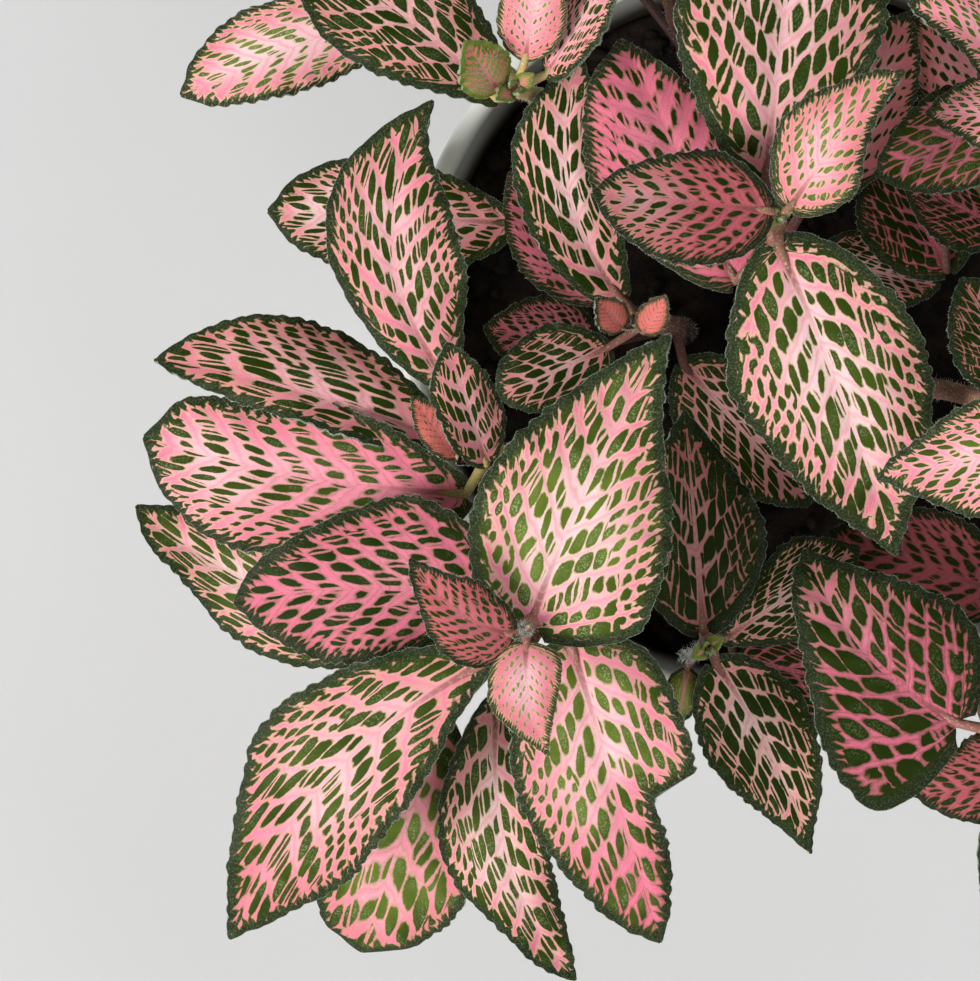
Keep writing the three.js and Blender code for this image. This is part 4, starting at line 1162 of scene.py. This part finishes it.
def makePot():
    piece = newPiece(bpy.ops.mesh.primitive_plane_add, size=mm)
    piece.name = "pot_shell"
    bpy.ops.object.mode_set(mode="EDIT")
    bpy.ops.mesh.select_all(action="SELECT")
    bpy.ops.mesh.merge(type="CENTER")
    last = (0, 0)
    for point in potProfile()[1:]:
        move = ((point[0] - last[0]) * mm, 0, (point[1] - last[1]) * mm)
        bpy.ops.mesh.extrude_region_move(TRANSFORM_OT_translate={"value": move})
        last = point
    bpy.ops.mesh.select_all(action="SELECT")
    bpy.ops.mesh.spin(steps=pot["steps"], angle=2 * math.pi, center=(0, 0, 0), axis=(0, 0, 1))
    bpy.ops.mesh.select_all(action="SELECT")
    bpy.ops.mesh.remove_doubles(threshold=0.02 * mm)
    bpy.ops.mesh.normals_make_consistent(inside=False)
    bpy.ops.object.mode_set(mode="OBJECT")
    bpy.ops.object.shade_smooth()
    material, tree, shader = startMaterial("whiteGlaze", roughness=0.3, Specular_IOR_Level=0.5,
                                           Coat_Weight=0.15)
    place = objectPlace(tree)
    cloud = noise(place, 25, detail=3)
    speck = noise(place, 1500, rough=0.6)
    colour = blend(cloud, *pot["glaze"])
    innerShade = blend(speck, *pot["innerShade"])
    # Painted shade: the inner wall turns dark brown near the soil.
    paint(shader, blend(paintedInnerShade(place), colour, innerShade))
    feed(shader.inputs["Roughness"], ramp(cloud, 0.3, 0.7, 0.26, 0.38))
    addBump(shader, scaled(speck, 0.25, cloud), 0.12, 0.4)
    piece.data.materials.append(material)
    finishPiece(piece, "pot")
    report("pot")


def makeSoil():
    rings = soil["rings"]
    bed = newPiece(bpy.ops.mesh.primitive_grid_add, x_subdivisions=rings, y_subdivisions=rings, size=2)
    bed.name = "soil_bed"
    flat = meshSpots(bed)
    x, y = flat[:, 0], flat[:, 1]
    stretch = np.maximum(np.abs(x), np.abs(y)) / np.maximum(np.hypot(x, y), 1e-9)
    radius = wallRadius(soil["top"]) - pot["wall"] - 0.3
    spots = np.stack([x * stretch * radius, y * stretch * radius, np.full(x.shape, float(soil["top"]))], -1)
    far = np.hypot(spots[:, 0], spots[:, 1]) / radius
    waves = np.zeros(x.shape)
    for scale, amount in soil["waves"]:
        turn, phase = draw.uniform(0, 6.28, 2)
        px = spots[:, 0] * math.cos(turn) + spots[:, 1] * math.sin(turn)
        py = spots[:, 1] * math.cos(turn) - spots[:, 0] * math.sin(turn)
        waves += amount * np.sin(scale * px + phase) * np.cos(scale * 1.13 * py + 2 * phase)
    spots[:, 2] += soil["lump"] * waves * 0.5 * (1 - far ** 4) + draw.normal(0, soil["unevenness"], x.shape)
    moveSpots(bed, spots * mm)
    applyModifier(bed, "SOLIDIFY", thickness=soil["thickness"] * mm, offset=-1)
    applyModifier(bed, "SUBSURF", levels=1, render_levels=1)
    crumbs = []
    pattern = newPiece(bpy.ops.mesh.primitive_ico_sphere_add, subdivisions=2, radius=1)
    ball = meshSpots(pattern)
    for _ in range(soil["crumbs"]):
        crumb = pattern.copy()
        crumb.data = pattern.data.copy()
        bpy.context.collection.objects.link(crumb)
        size = draw.uniform(*soil["crumbSize"])
        turn = draw.uniform(0, 2 * math.pi)
        away = (radius - 2) * math.sqrt(draw.uniform(0, 1))
        shape = ball * draw.uniform(0.75, 1.25, ball.shape) * draw.uniform(0.6, 1.2, 3) * size
        centre = np.array([away * math.cos(turn), away * math.sin(turn), soil["top"] + 0.3 * size])
        moveSpots(crumb, (shape + centre) * mm)
        crumbs.append(crumb)
    bpy.data.objects.remove(pattern)
    bed = joinPieces([bed] + crumbs, "soil_bed")
    bpy.ops.object.shade_smooth()
    material, tree, shader = startMaterial("dampSoil", roughness=0.95, Specular_IOR_Level=0.15)
    place = objectPlace(tree)
    broad = noise(place, 180, 3, 0.6)
    fine = noise(place, 900, 4, 0.7)
    colour = blend(ramp(broad, 0.35, 0.7), soil["dark"], soil["brown"])
    paint(shader, blend(ramp(fine, 0.62, 0.8, 0.0, 0.6), colour, soil["fleck"]))
    addBump(shader, fine, 0.5, 1.0)
    bed.data.materials.clear()
    bed.data.materials.append(material)
    finishPiece(bed, "potting_soil")
    report("soil")


addCameraAndLight()
makePot()
makeSoil()
buildPlant()

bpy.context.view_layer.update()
report("done")
